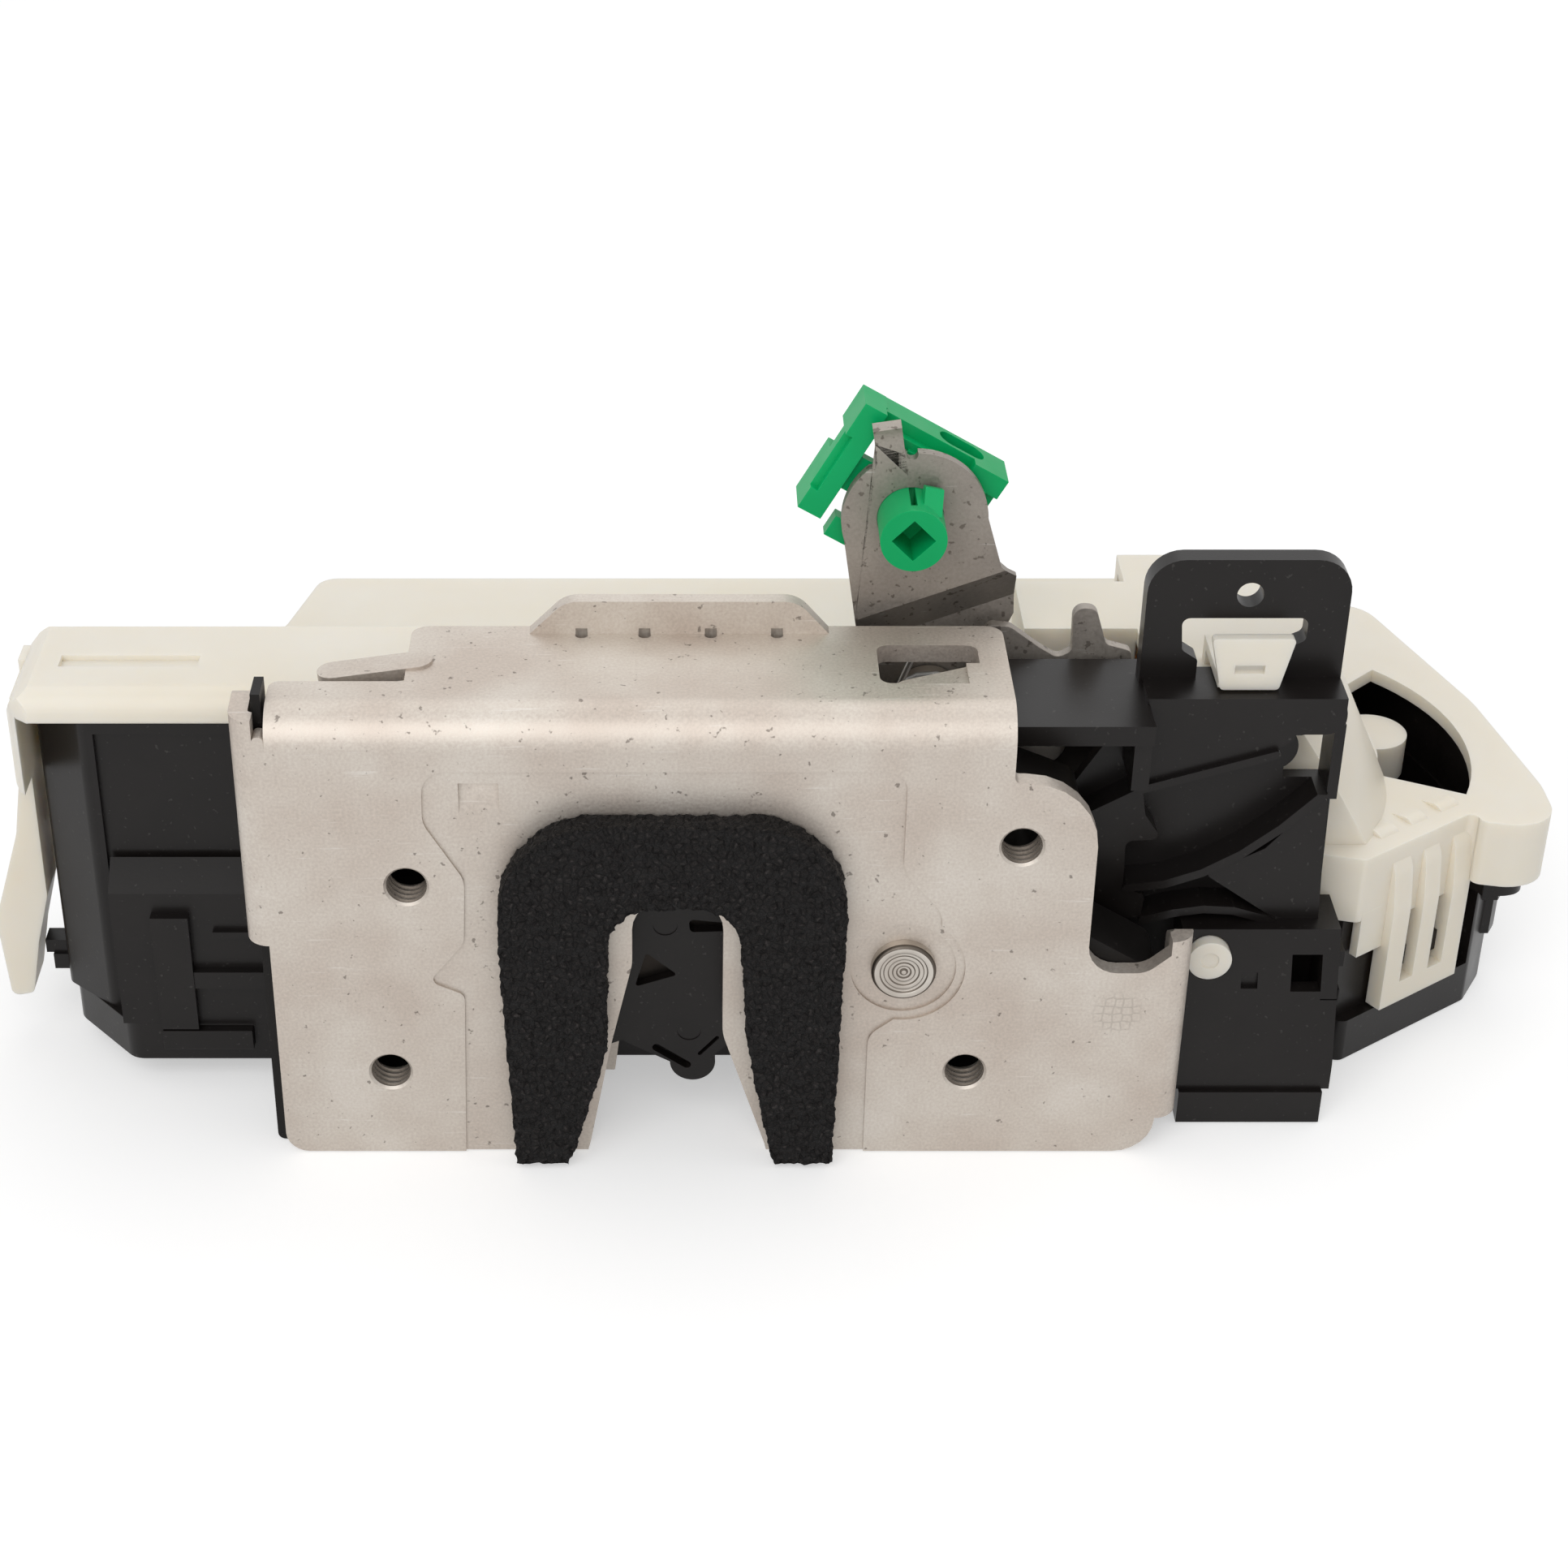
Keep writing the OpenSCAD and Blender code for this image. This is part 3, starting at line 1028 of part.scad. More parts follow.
// Involute gear outline: module m, n teeth, thinned by play at the pitch circle
module gear_2d(m, n, play) {
    rp = m * n / 2;
    rb = rp * cos(20);
    ra = rp + m - 0.06;
    rf = rp - 1.25 * m;
    function inv(r) = r <= rb ? 0 : tan(acos(rb / r)) * 180 / PI - acos(rb / r);
    half = 90 / n - play / 2 / rp * 180 / PI;
    function side(r) = half + inv(rp) - inv(max(r, rb));
    function at(r, a) = r * [cos(a), sin(a)];
    steps = [for (k = [0:4]) rf + 0.06 + (ra - rf - 0.06) * k / 4];
    polygon([for (i = [0:n - 1]) let (a = 360 * i / n) each concat(
        [for (r = steps) at(r, a - side(r))],
        [for (k = [4:-1:0]) at(steps[k], a + side(steps[k]))],
        [at(rf, a + 180 / n)])]);
}

module motor_can() color(steel) difference() {
    rod_x(worm_y, worm_z, motor_end - motor_len, motor_end, motor_r);
    rod_x(worm_y, worm_z, motor_end - motor_len - cut, motor_end - 1, motor_r - 1);
    rod_x(worm_y, worm_z, motor_end - 2, motor_end + cut, 2.2);
}

module motor_end_cap() color(black) difference() {
    union() {
        rod_x(worm_y, worm_z, motor_end - motor_len - 1.6, motor_end - motor_len, motor_r - 0.4);
        rod_x(worm_y, worm_z, motor_end - motor_len - eps, motor_end - motor_len + 3, motor_r - 1.1);
    }
    rod_x(worm_y, worm_z, motor_end - motor_len - 0.4, motor_end - motor_len + 4, 1 + run);
    for (s = [-1, 1]) block([motor_end - motor_len - 2, worm_y + s * 5 - 1.2, worm_z - 0.5],
        [motor_end - motor_len + 4, worm_y + s * 5 + 1.2, worm_z + 0.5]);
}

module motor_terminals() color(brass) for (s = [-1, 1])
    block([motor_end - motor_len - 5, worm_y + s * 5 - 1.1, worm_z - 0.4],
        [motor_end - motor_len + 2, worm_y + s * 5 + 1.1, worm_z + 0.4]);

module motor_shaft() color(steel) {
    rod_x(worm_y, worm_z, motor_end - motor_len, worm_x0 + worm_len + 1, 1);
    // armature inside the can
    rod_x(worm_y, worm_z, motor_end - motor_len + 5, motor_end - 4, motor_r - 3);
}

// Radius of a worm thread between root and tip, at a share f of the pitch from the crest
function thread_wave(f, root, tip) =
    let (d = abs(f - floor(f + 0.5)))
    d < 0.09 ? tip : d > 0.27 ? root : tip + (root - tip) * (d - 0.09) / 0.18;

// Worm: trapezoid threads wound round a bored core
module motor_worm() color(nylon) {
    around = 24;
    per_pitch = 10;
    rows = floor(worm_len / worm_pitch * per_pitch);
    tip = worm_r + worm_m - 0.12;
    root = worm_r - worm_m - 0.3;
    outer = [for (i = [0:rows]) for (k = [0:around - 1])
        let (x = i / per_pitch, a = 360 * k / around, edge = i == 0 || i == rows,
            r = edge ? root : thread_wave(x + k / around + 0.5 - 6.5 / worm_pitch, root, tip))
        [worm_x0 + x * worm_pitch, worm_y + r * cos(a), worm_z + r * sin(a)]];
    inner = [for (i = [0, rows]) for (k = [0:around - 1])
        [worm_x0 + i / per_pitch * worm_pitch, worm_y + 1.06 * cos(360 * k / around), worm_z + 1.06 * sin(360 * k / around)]];
    n = (rows + 1) * around;
    polyhedron(concat(outer, inner), concat(
        [for (i = [0:rows - 1]) for (k = [0:around - 1]) let (a = i * around, b = (k + 1) % around)
            each [[a + k, a + b, a + around + k], [a + b, a + around + b, a + around + k]]],
        [for (k = [0:around - 1]) let (b = (k + 1) % around) [n + b, n + k, n + around + k, n + around + b]],
        [for (k = [0:around - 1]) let (b = (k + 1) % around) [b, k, n + k, n + b]],
        [for (k = [0:around - 1]) let (b = (k + 1) % around, a = rows * around)
            [a + k, a + b, n + around + b, n + around + k]]));
}

module worm_wheel() color(nylon) translate([wheel_x, wheel_y, 0]) difference() {
    union() {
        level(worm_z - 1.6, 3.2) rotate(-90) gear_2d(worm_m, wheel_teeth, backlash + 0.3);
        level(worm_z + 1.6 - eps, 8.6) rotate(-45) gear_2d(sector_m, pinion_teeth, backlash);
    }
    translate([0, 0, worm_z - 3]) cylinder(r = 1.5 + run, h = 20);
}

module wheel_axle() color(steel) rod_z(wheel_x, wheel_y, 6.2, worm_z + 9.8, 1.5);

module lock_lever() color(nylon) translate([lock_x, lock_y, 0]) difference() {
    union() {
        level(23, 3) intersection() {
            rotate(135 + 360 / sector_teeth / 2) gear_2d(sector_m, sector_teeth, backlash);
            polygon([[0, 0], 40 * [cos(120), sin(120)], 40 * [cos(150), sin(150)], 40 * [cos(188), sin(188)]]);
        }
        level(23, 3) {
            circle(7);
            bar_2d([0, 0], (boss_reach - 1) * [cos(boss_angle), sin(boss_angle)], 4);
        }
        level(22.8, 4) circle(6);
        translate([boss_reach * cos(boss_angle), boss_reach * sin(boss_angle), 23]) cylinder(r = 5, h = 6);
    }
    translate([0, 0, 20]) cylinder(r = 2 + run, h = 8);
}

module lock_lever_axle() color(steel) rod_z(lock_x, lock_y, 8.2, 28, 2);

module circuit_carrier() color(black) level(carrier_z, carrier_t) polygon([
    [-74, 24], [8, 24], [8, 62], [-46, 62], [-52, 46], [-74, 46]]);

module ajar_switch() color(black) {
    block([-40, 33, carrier_z + carrier_t], [-27, 39, carrier_z + carrier_t + 7]);
    rod_z(-36, 36, carrier_z + carrier_t + 6.9, carrier_z + carrier_t + 8.2, 1);
}

module lock_switch() color(black) {
    block([-10, 46, carrier_z + carrier_t], [3, 52, carrier_z + carrier_t + 7]);
    rod_z(-6, 49, carrier_z + carrier_t + 6.9, carrier_z + carrier_t + 8.2, 1);
}

module connector_pins() color(brass) for (i = [0:3]) translate([-72.2 + 3.8 * i, 0, 0]) {
    block([0, 42, carrier_z + carrier_t], [0.8, 59, carrier_z + carrier_t + 0.8]);
    block([0, 42, carrier_z - 4], [0.8, 59, carrier_z - 3.2]);
    block([0, 42, carrier_z - 4], [0.8, 42.8, carrier_z]);
}

latch_plate();
foam_seal();
latch_housing();
back_plate();
fork_bolt_core();
fork_bolt_cover();
fork_bolt_rivet();
fork_bolt_spring();
claw_bumper();
pawl();
pawl_rivet();
pawl_spring();
outside_release_lever();
outside_lever_pin();
outside_lever_spring();
rod_clip();
inside_release_lever();
inside_lever_pin();
inside_lever_spring();
cable_bracket();
actuator_base();
lower_cover();
actuator_cover();
cover_screws();
stake_post();
motor_can();
motor_end_cap();
motor_shaft();
motor_worm();
worm_wheel();
wheel_axle();
lock_lever();
lock_lever_axle();
circuit_carrier();
ajar_switch();
lock_switch();
connector_pins();
motor_terminals();
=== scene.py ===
"""Door latch actuator: its finishes, fine pieces and studio round the construction model."""

import logging
import math
from dataclasses import dataclass
from enum import Enum

import bpy
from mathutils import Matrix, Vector


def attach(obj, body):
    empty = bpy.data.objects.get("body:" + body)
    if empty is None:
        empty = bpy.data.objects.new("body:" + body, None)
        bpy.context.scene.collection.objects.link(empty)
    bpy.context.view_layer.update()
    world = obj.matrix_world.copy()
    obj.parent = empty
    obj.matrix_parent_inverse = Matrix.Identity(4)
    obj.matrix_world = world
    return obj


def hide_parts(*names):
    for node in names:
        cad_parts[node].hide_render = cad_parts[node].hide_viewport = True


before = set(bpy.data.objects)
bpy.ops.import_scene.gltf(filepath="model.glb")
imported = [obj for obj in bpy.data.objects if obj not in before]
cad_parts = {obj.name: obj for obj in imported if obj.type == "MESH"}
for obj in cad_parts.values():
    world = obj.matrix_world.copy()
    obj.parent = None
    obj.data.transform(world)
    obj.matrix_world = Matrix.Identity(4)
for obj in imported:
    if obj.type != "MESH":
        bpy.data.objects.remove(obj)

MM = 0.001
PHOTO_SIDE = 1932
# corners of the construction mesh nearer than this are one corner
MERGED = 0.002 * MM
# edges shorter than this are taken out of a finished mesh
COLLAPSED = 0.001 * MM
# faces that lean less than this from each other are one flat face
FLAT_ANGLE = math.radians(0.6)
# edges sharper than this are broken
BROKEN_ANGLE = math.radians(32)
# where the lamps look: the middle of the object
LAMP_TARGET = Vector((0, 0.03, 0.04))
WHITE = (1, 1, 1, 1)
DARK_GRAIN = (0.25, 0.24, 0.23, 1)
RUB_MARK = (0.75, 0.73, 0.7, 1)
DUST = (0.5, 0.48, 0.45, 1)
FLOOR_GREY = (0.72, 0.72, 0.72, 1)
CELL_MARK = "#8A8178"
Colour = tuple[float, float, float, float]

log = logging.getLogger("door_latch")


class Edge(Enum):
    """How far the edges of a piece are broken, in millimetres."""

    AS_CUT = 0.0
    SHARP = 0.05
    TURNED = 0.12
    MOULDED = 0.3


def linear(code: str) -> Colour:
    """Turns an sRGB colour into the linear values that a shader takes.

    Args:
        code: Six hex digits after a hash.

    Returns:
        Red, green, blue and a full alpha.
    """
    shares = [int(code[i:i + 2], 16) / 255 for i in (1, 3, 5)]
    values = [s / 12.92 if s <= 0.04045 else ((s + 0.055) / 1.055) ** 2.4 for s in shares]
    return (values[0], values[1], values[2], 1.0)


def add_node(tree: bpy.types.NodeTree, kind: str, inputs: dict | None = None, **settings) -> bpy.types.Node:
    """Adds one shader node.

    Args:
        tree: The material's node tree.
        kind: The node's type.
        inputs: A value or an output to link, for each input's name or number.
        settings: The node's own settings.

    Returns:
        The new node.
    """
    node = tree.nodes.new(kind)
    for name, value in settings.items():
        setattr(node, name, value)
    for key, value in (inputs or {}).items():
        if isinstance(value, bpy.types.NodeSocket):
            tree.links.new(value, node.inputs[key])
        else:
            node.inputs[key].default_value = value
    return node


@dataclass(frozen=True)
class Finish:
    """A surface of one real material, patterned on Object coordinates in metres."""

    name: str
    colour: str
    second: str
    roughness: float
    grain: float = 0.4
    relief: float = 0.1

    def material(self) -> bpy.types.Material:
        """Gives the material of this finish, made on first use."""
        found = bpy.data.materials.get(self.name)
        if found:
            return found
        made = bpy.data.materials.new(self.name)
        made.use_nodes = True
        made.diffuse_color = linear(self.colour)
        tree = made.node_tree
        place = tree.nodes.new("ShaderNodeTexCoord").outputs["Object"]
        self.fill(tree, tree.nodes["Principled BSDF"], place)
        return made

    def fill(self, tree: bpy.types.NodeTree, shader: bpy.types.Node, place: bpy.types.NodeSocket) -> None:
        """Wires the nodes of this finish.

        Args:
            tree: The material's node tree.
            shader: Its Principled shader.
            place: The Object coordinates.
        """
        raise NotImplementedError

    def cloud(self, tree: bpy.types.NodeTree, place: bpy.types.NodeSocket, size: float,
              low: float, high: float, detail: float = 3.0) -> bpy.types.NodeSocket:
        """Makes a soft noise between 0 and 1.

        Args:
            tree: The material's node tree.
            place: The coordinates it lies on.
            size: Its grain in millimetres.
            low: The noise value that gives 0.
            high: The noise value that gives 1.
            detail: Its octaves.

        Returns:
            The stretched noise.
        """
        noise = add_node(tree, "ShaderNodeTexNoise",
                         {"Vector": place, "Scale": 1 / (size * MM), "Detail": detail, "Roughness": 0.55})
        spread = add_node(tree, "ShaderNodeMapRange",
                          {"Value": noise.outputs["Fac"], "From Min": low, "From Max": high})
        return spread.outputs["Result"]

    def blend(self, tree: bpy.types.NodeTree, share: bpy.types.NodeSocket | float,
              first: bpy.types.NodeSocket | Colour, second: bpy.types.NodeSocket | Colour,
              mode: str = "MIX") -> bpy.types.NodeSocket:
        """Mixes two colours.

        Args:
            tree: The material's node tree.
            share: How much of the second.
            first: The first colour.
            second: The second colour.
            mode: The way they mix.

        Returns:
            The mixed colour.
        """
        mix = add_node(tree, "ShaderNodeMix", {0: share, 6: first, 7: second},
                       data_type="RGBA", blend_type=mode)
        return mix.outputs[2]

    def bump(self, tree: bpy.types.NodeTree, shader: bpy.types.Node, height: bpy.types.NodeSocket,
             strength: float, depth: float) -> None:
        """Leads a height into the shader's normal.

        Args:
            tree: The material's node tree.
            shader: Its Principled shader.
            height: The height, 0 to 1.
            strength: The share of the relief that shows.
            depth: The relief in millimetres.
        """
        node = add_node(tree, "ShaderNodeBump",
                        {"Height": height, "Strength": strength, "Distance": depth * MM})
        tree.links.new(node.outputs["Normal"], shader.inputs["Normal"])


@dataclass(frozen=True)
class ZincPlatedSheet(Finish):
    """Cold rolled steel, pressed and zinc plated: a fine satin grain with specks and rub marks."""

    speck: str = "#4A4038"
    specks: float = 0.68
    cells_at: tuple[float, float, float] | None = None
    cloud_size: float = 16
    grain_share: float = 0.16
    rub_width: float = 0.5
    rub_share: float = 0.35
    speck_size: float = 1.1
    speck_share: float = 0.6
    cell_size: float = 1.2
    cell_share: float = 0.3
    cells_full: float = 2.4
    cells_gone: float = 3.6
    metal: float = 0.72

    def fill(self, tree: bpy.types.NodeTree, shader: bpy.types.Node, place: bpy.types.NodeSocket) -> None:
        """Wires the plating: cloudy tone, grain, dark specks and long rub marks."""
        tone = self.blend(tree, self.cloud(tree, place, self.cloud_size, 0.35, 0.7),
                          linear(self.colour), linear(self.second))
        grain = self.cloud(tree, place, self.grain, 0.3, 0.7, 5.0)
        tone = self.blend(tree, self.grain_share, tone, self.blend(tree, grain, DARK_GRAIN, WHITE), "OVERLAY")
        # rub marks are stretched one way, so they run along the sheet
        long_way = add_node(tree, "ShaderNodeMapping", {"Vector": place, "Rotation": (0.3, 0.5, 0.4),
                                                        "Scale": (0.06, 1.0, 1.0)})
        rubs = self.cloud(tree, long_way.outputs["Vector"], self.rub_width, 0.66, 0.74)
        tone = self.blend(tree, rubs, tone, self.blend(tree, self.rub_share, tone, RUB_MARK))
        dots = self.cloud(tree, place, self.speck_size, self.specks, self.specks + 0.05, 2.0)
        tone = self.blend(tree, dots, tone, self.blend(tree, self.speck_share, tone, linear(self.speck)))
        if self.cells_at:
            tone = self.blend(tree, self.cells(tree, place), tone,
                              self.blend(tree, self.cell_share, tone, linear(CELL_MARK)))
        tree.links.new(tone, shader.inputs["Base Color"])
        rough = add_node(tree, "ShaderNodeMapRange", {"Value": grain, "To Min": self.roughness - 0.05,
                                                      "To Max": self.roughness + 0.09})
        tree.links.new(rough.outputs["Result"], shader.inputs["Roughness"])
        shader.inputs["Metallic"].default_value = self.metal
        self.bump(tree, shader, grain, 0.35, self.relief)

    def cells(self, tree: bpy.types.NodeTree, place: bpy.types.NodeSocket) -> bpy.types.NodeSocket:
        """Draws the faint cell marks in the plating round one point.

        Args:
            tree: The material's node tree.
            place: The Object coordinates.

        Returns:
            The share of the marks, 0 to 1.
        """
        centre = tuple(value * MM for value in self.cells_at)
        away = add_node(tree, "ShaderNodeVectorMath", {0: place, 1: centre}, operation="DISTANCE")
        near = add_node(tree, "ShaderNodeMapRange",
                        {"Value": away.outputs["Value"], "From Min": self.cells_gone * MM,
                         "From Max": self.cells_full * MM})
        comb = add_node(tree, "ShaderNodeTexVoronoi",
                        {"Vector": place, "Scale": 1 / (self.cell_size * MM), "Randomness": 0.35},
                        feature="DISTANCE_TO_EDGE")
        line = add_node(tree, "ShaderNodeMapRange", {"Value": comb.outputs["Distance"], "From Min": 0.14,
                                                     "From Max": 0.05})
        share = add_node(tree, "ShaderNodeMath", {0: near.outputs["Result"], 1: line.outputs["Result"]},
                         operation="MULTIPLY")
        return share.outputs["Value"]


@dataclass(frozen=True)
class MouldedPlastic(Finish):
    """Glass filled polyester or polyamide from a spark eroded mould: dark, satin, with faint flow marks."""

    dust: float = 0.05
    gloss: float = 0.2
    flow_size: float = 9
    dust_size: float = 0.7
    refraction: float = 1.57

    def fill(self, tree: bpy.types.NodeTree, shader: bpy.types.Node, place: bpy.types.NodeSocket) -> None:
        """Wires the plastic: near black, with flow marks in its gloss and a trace of dust."""
        grain = self.cloud(tree, place, self.grain, 0.3, 0.7, 2.0)
        flow = self.cloud(tree, place, self.flow_size, 0.3, 0.75, 2.0)
        tone = self.blend(tree, flow, linear(self.colour), linear(self.second))
        dust = self.cloud(tree, place, self.dust_size, 0.7, 0.8, 1.0)
        tone = self.blend(tree, dust, tone, self.blend(tree, self.dust, tone, DUST))
        tree.links.new(tone, shader.inputs["Base Color"])
        rough = add_node(tree, "ShaderNodeMapRange", {"Value": flow, "To Min": self.roughness - 0.04,
                                                      "To Max": self.roughness + 0.07})
        tree.links.new(rough.outputs["Result"], shader.inputs["Roughness"])
        shader.inputs["IOR"].default_value = self.refraction
        shader.inputs["Specular IOR Level"].default_value = self.gloss
        self.bump(tree, shader, grain, 0.25, self.relief)


@dataclass(frozen=True)
class ClearedPlastic(Finish):
    """Unfilled polyamide or acetal: light goes a little way in, so thin walls glow and edges stay soft."""

    depth: float = 1.6
    share: float = 0.4
    gloss: float = 0.35
    cloud_size: float = 22
    flow_size: float = 7
    refraction: float = 1.52
    reach: tuple[float, float, float] = (1.0, 0.9, 0.7)

    def fill(self, tree: bpy.types.NodeTree, shader: bpy.types.Node, place: bpy.types.NodeSocket) -> None:
        """Wires the plastic: a cloudy tint, a soft gloss and light scattered under the surface."""
        tone = self.blend(tree, self.cloud(tree, place, self.cloud_size, 0.35, 0.7),
                          linear(self.colour), linear(self.second))
        tree.links.new(tone, shader.inputs["Base Color"])
        flow = self.cloud(tree, place, self.flow_size, 0.3, 0.7, 2.0)
        rough = add_node(tree, "ShaderNodeMapRange", {"Value": flow, "To Min": self.roughness - 0.03,
                                                      "To Max": self.roughness + 0.06})
        tree.links.new(rough.outputs["Result"], shader.inputs["Roughness"])
        shader.inputs["IOR"].default_value = self.refraction
        shader.inputs["Specular IOR Level"].default_value = self.gloss
        shader.inputs["Subsurface Weight"].default_value = self.share
        shader.inputs["Subsurface Radius"].default_value = self.reach
        shader.inputs["Subsurface Scale"].default_value = self.depth * MM
        self.bump(tree, shader, self.cloud(tree, place, self.grain, 0.3, 0.7, 2.0), 0.15, self.relief)


@dataclass(frozen=True)
class CrumbFoam(Finish):
    """Open cell rubber foam: matt black crumbs, with painted shade darkening the pores and hollows between
    them.
    """

    pore_share: float = 0.6
    gloss: float = 0.25

    def fill(self, tree: bpy.types.NodeTree, shader: bpy.types.Node, place: bpy.types.NodeSocket) -> None:
        """Wires the foam: crumbs from cells, pores from noise, no shine; the low places are coloured darker
        as painted shade.
        """
        cells = add_node(tree, "ShaderNodeTexVoronoi", {"Vector": place, "Scale": 1 / (self.grain * MM)},
                         feature="DISTANCE_TO_EDGE")
        crumbs = add_node(tree, "ShaderNodeMapRange", {"Value": cells.outputs["Distance"], "From Max": 0.22})
        pores = self.cloud(tree, place, self.grain * self.pore_share, 0.3, 0.6, 4.0)
        height = add_node(tree, "ShaderNodeMath", {0: crumbs.outputs["Result"], 1: pores},
                          operation="MULTIPLY")
        # the low places of the crumbs and pores take the near black second colour: painted shade in the
        # hollows
        tone = self.blend(tree, height.outputs["Value"], linear(self.second), linear(self.colour))
        tree.links.new(tone, shader.inputs["Base Color"])
        shader.inputs["Roughness"].default_value = self.roughness
        shader.inputs["Specular IOR Level"].default_value = self.gloss
        self.bump(tree, shader, height.outputs["Value"], 0.9, self.relief)


@dataclass(frozen=True)
class PlainMetal(Finish):
    """Drawn, turned or stamped metal: even, with a fine grain and slight tarnish."""

    cloud_size: float = 5

    def fill(self, tree: bpy.types.NodeTree, shader: bpy.types.Node, place: bpy.types.NodeSocket) -> None:
        """Wires the metal: a cloudy tarnish and a fine grain in its gloss."""
        tone = self.blend(tree, self.cloud(tree, place, self.cloud_size, 0.35, 0.7),
                          linear(self.colour), linear(self.second))
        tree.links.new(tone, shader.inputs["Base Color"])
        grain = self.cloud(tree, place, self.grain, 0.3, 0.7, 4.0)
        rough = add_node(tree, "ShaderNodeMapRange", {"Value": grain, "To Min": self.roughness - 0.05,
                                                      "To Max": self.roughness + 0.08})
        tree.links.new(rough.outputs["Result"], shader.inputs["Roughness"])
        shader.inputs["Metallic"].default_value = 1.0
        self.bump(tree, shader, grain, 0.3, self.relief)


# zinc plate over pressed sheet, warm grey and satin
PLATE_ZINC = ZincPlatedSheet("zinc_plated_sheet", "#B9AEA4", "#C9C1B8", 0.48, 0.38, 0.02,
                             cells_at=(56.6, 0.0, 22.6))
# thicker zinc flake on the lever, darker and more specked
LEVER_ZINC = ZincPlatedSheet("zinc_flake_lever", "#8D867F", "#9F9890", 0.5, 0.45, 0.03, specks=0.62)
# black polyester of the housings
BLACK_PLASTIC = MouldedPlastic("black_moulded_polyester", "#161312", "#1B1817", 0.32, 0.3, 0.012)
# the plate's own housing, a softer and duller grade
BLACK_OVERMOULD = MouldedPlastic("black_overmould", "#141211", "#181615", 0.45, 0.3, 0.02, gloss=0.15)
# natural polyamide of the cover, milky and slightly yellow
NATURAL_NYLON = ClearedPlastic("natural_polyamide", "#E9E1D1", "#ECE6DA", 0.36, 0.5, 0.02,
                               depth=2.2, share=0.5)
# green acetal of the rod clip
GREEN_ACETAL = ClearedPlastic("green_acetal", "#00A55F", "#02AE68", 0.4, 0.4, 0.02,
                              depth=0.9, share=0.2, gloss=0.2)
# crumb foam of the seal, its near black second colour painted as shade in the hollows
SEAL_FOAM = CrumbFoam("crumb_foam", "#2B2726", "#030202", 0.62, 0.95, 0.7)
# rivet heads, bright where the tool formed them
RIVET_STEEL = PlainMetal("formed_rivet_steel", "#C4BEB6", "#AFA79E", 0.34, 0.3, 0.02)
# coiled springs of the claw, pawl and levers
SPRING_STEEL = PlainMetal("spring_steel", "#7E7A75", "#8F8B86", 0.32, 0.3, 0.01)
# claw core and pawl, near black steel; on the core the black is painted shade, standing for the dark hollow
# seen through the claw cover's triangular opening
NEAR_BLACK_STEEL_AND_CORE_SHADE = PlainMetal("near_black_steel_and_core_shade", "#24211F", "#2E2A27", 0.4, 0.3, 0.01)
# can of the motor
MOTOR_STEEL = PlainMetal("drawn_motor_can", "#B4B1AB", "#C2BFB9", 0.28, 0.4, 0.01)
# pins and terminals
TERMINAL_BRASS = PlainMetal("tinned_brass", "#C9A85A", "#D8BC74", 0.3, 0.3, 0.01)
# flanks of the tapped threads, and the grooves of the claw rivet, painted darker: painted shade between the
# thread turns and in the grooves
FLANK_AND_GROOVE_SHADE = PlainMetal("painted_shade_flank_and_groove", "#5B544D", "#6C645C", 0.42, 0.3, 0.01)
# bumper of the claw
BUMPER_RUBBER = MouldedPlastic("moulded_rubber", "#141313", "#1A1817", 0.7, 0.4, 0.03)


def deselect() -> None:
    """Leaves object mode ready: nothing selected, nothing active in edit mode."""
    if bpy.context.object and bpy.context.object.mode != "OBJECT":
        bpy.ops.object.mode_set(mode="OBJECT")
    bpy.ops.object.select_all(action="DESELECT")


def activate(piece: bpy.types.Object) -> None:
    """Makes one object the only selected one, and active."""
    deselect()
    piece.select_set(True)
    bpy.context.view_layer.objects.active = piece


def apply_modifier(piece: bpy.types.Object, kind: str, **settings) -> None:
    """Adds a modifier and applies it.

    Args:
        piece: The object to change.
        kind: The modifier's type.
        settings: The modifier's settings.
    """
    activate(piece)
    modifier = piece.modifiers.new(kind.lower(), kind)
    for name, value in settings.items():
        setattr(modifier, name, value)
    bpy.ops.object.modifier_apply(modifier=modifier.name)


def smooth(piece: bpy.types.Object, angle: float = 35.0) -> None:
    """Shades a piece smooth up to an angle.

    Args:
        piece: The piece; its flat faces stay flat.
        angle: The sharpest edge that is shaded smooth, in degrees.
    """
    activate(piece)
    bpy.ops.object.shade_smooth_by_angle(angle=math.radians(angle))
    apply_modifier(piece, "WEIGHTED_NORMAL", keep_sharp=True, weight=100)


def dress(piece: bpy.types.Object, *finishes: Finish) -> None:
    """Gives a piece its finishes, one for each of its material slots."""
    piece.data.materials.clear()
    for finish in finishes:
        piece.data.materials.append(finish.material())


def merged_copy(node: str, name: str) -> bpy.types.Object:
    """Copies a construction node as one joined mesh with flat faces whole.

    Args:
        node: The node's name.
        name: The copy's name.

    Returns:
        The copy, at the origin.
    """
    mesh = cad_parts[node].data.copy()
    mesh.materials.clear()
    piece = bpy.data.objects.new(name, mesh)
    bpy.context.scene.collection.objects.link(piece)
    activate(piece)
    bpy.ops.object.mode_set(mode="EDIT")
    bpy.ops.mesh.select_all(action="SELECT")
    bpy.ops.mesh.customdata_custom_splitnormals_clear()
    bpy.ops.mesh.remove_doubles(threshold=MERGED)
    bpy.ops.mesh.dissolve_limited(angle_limit=FLAT_ANGLE)
    bpy.ops.object.mode_set(mode="OBJECT")
    return piece


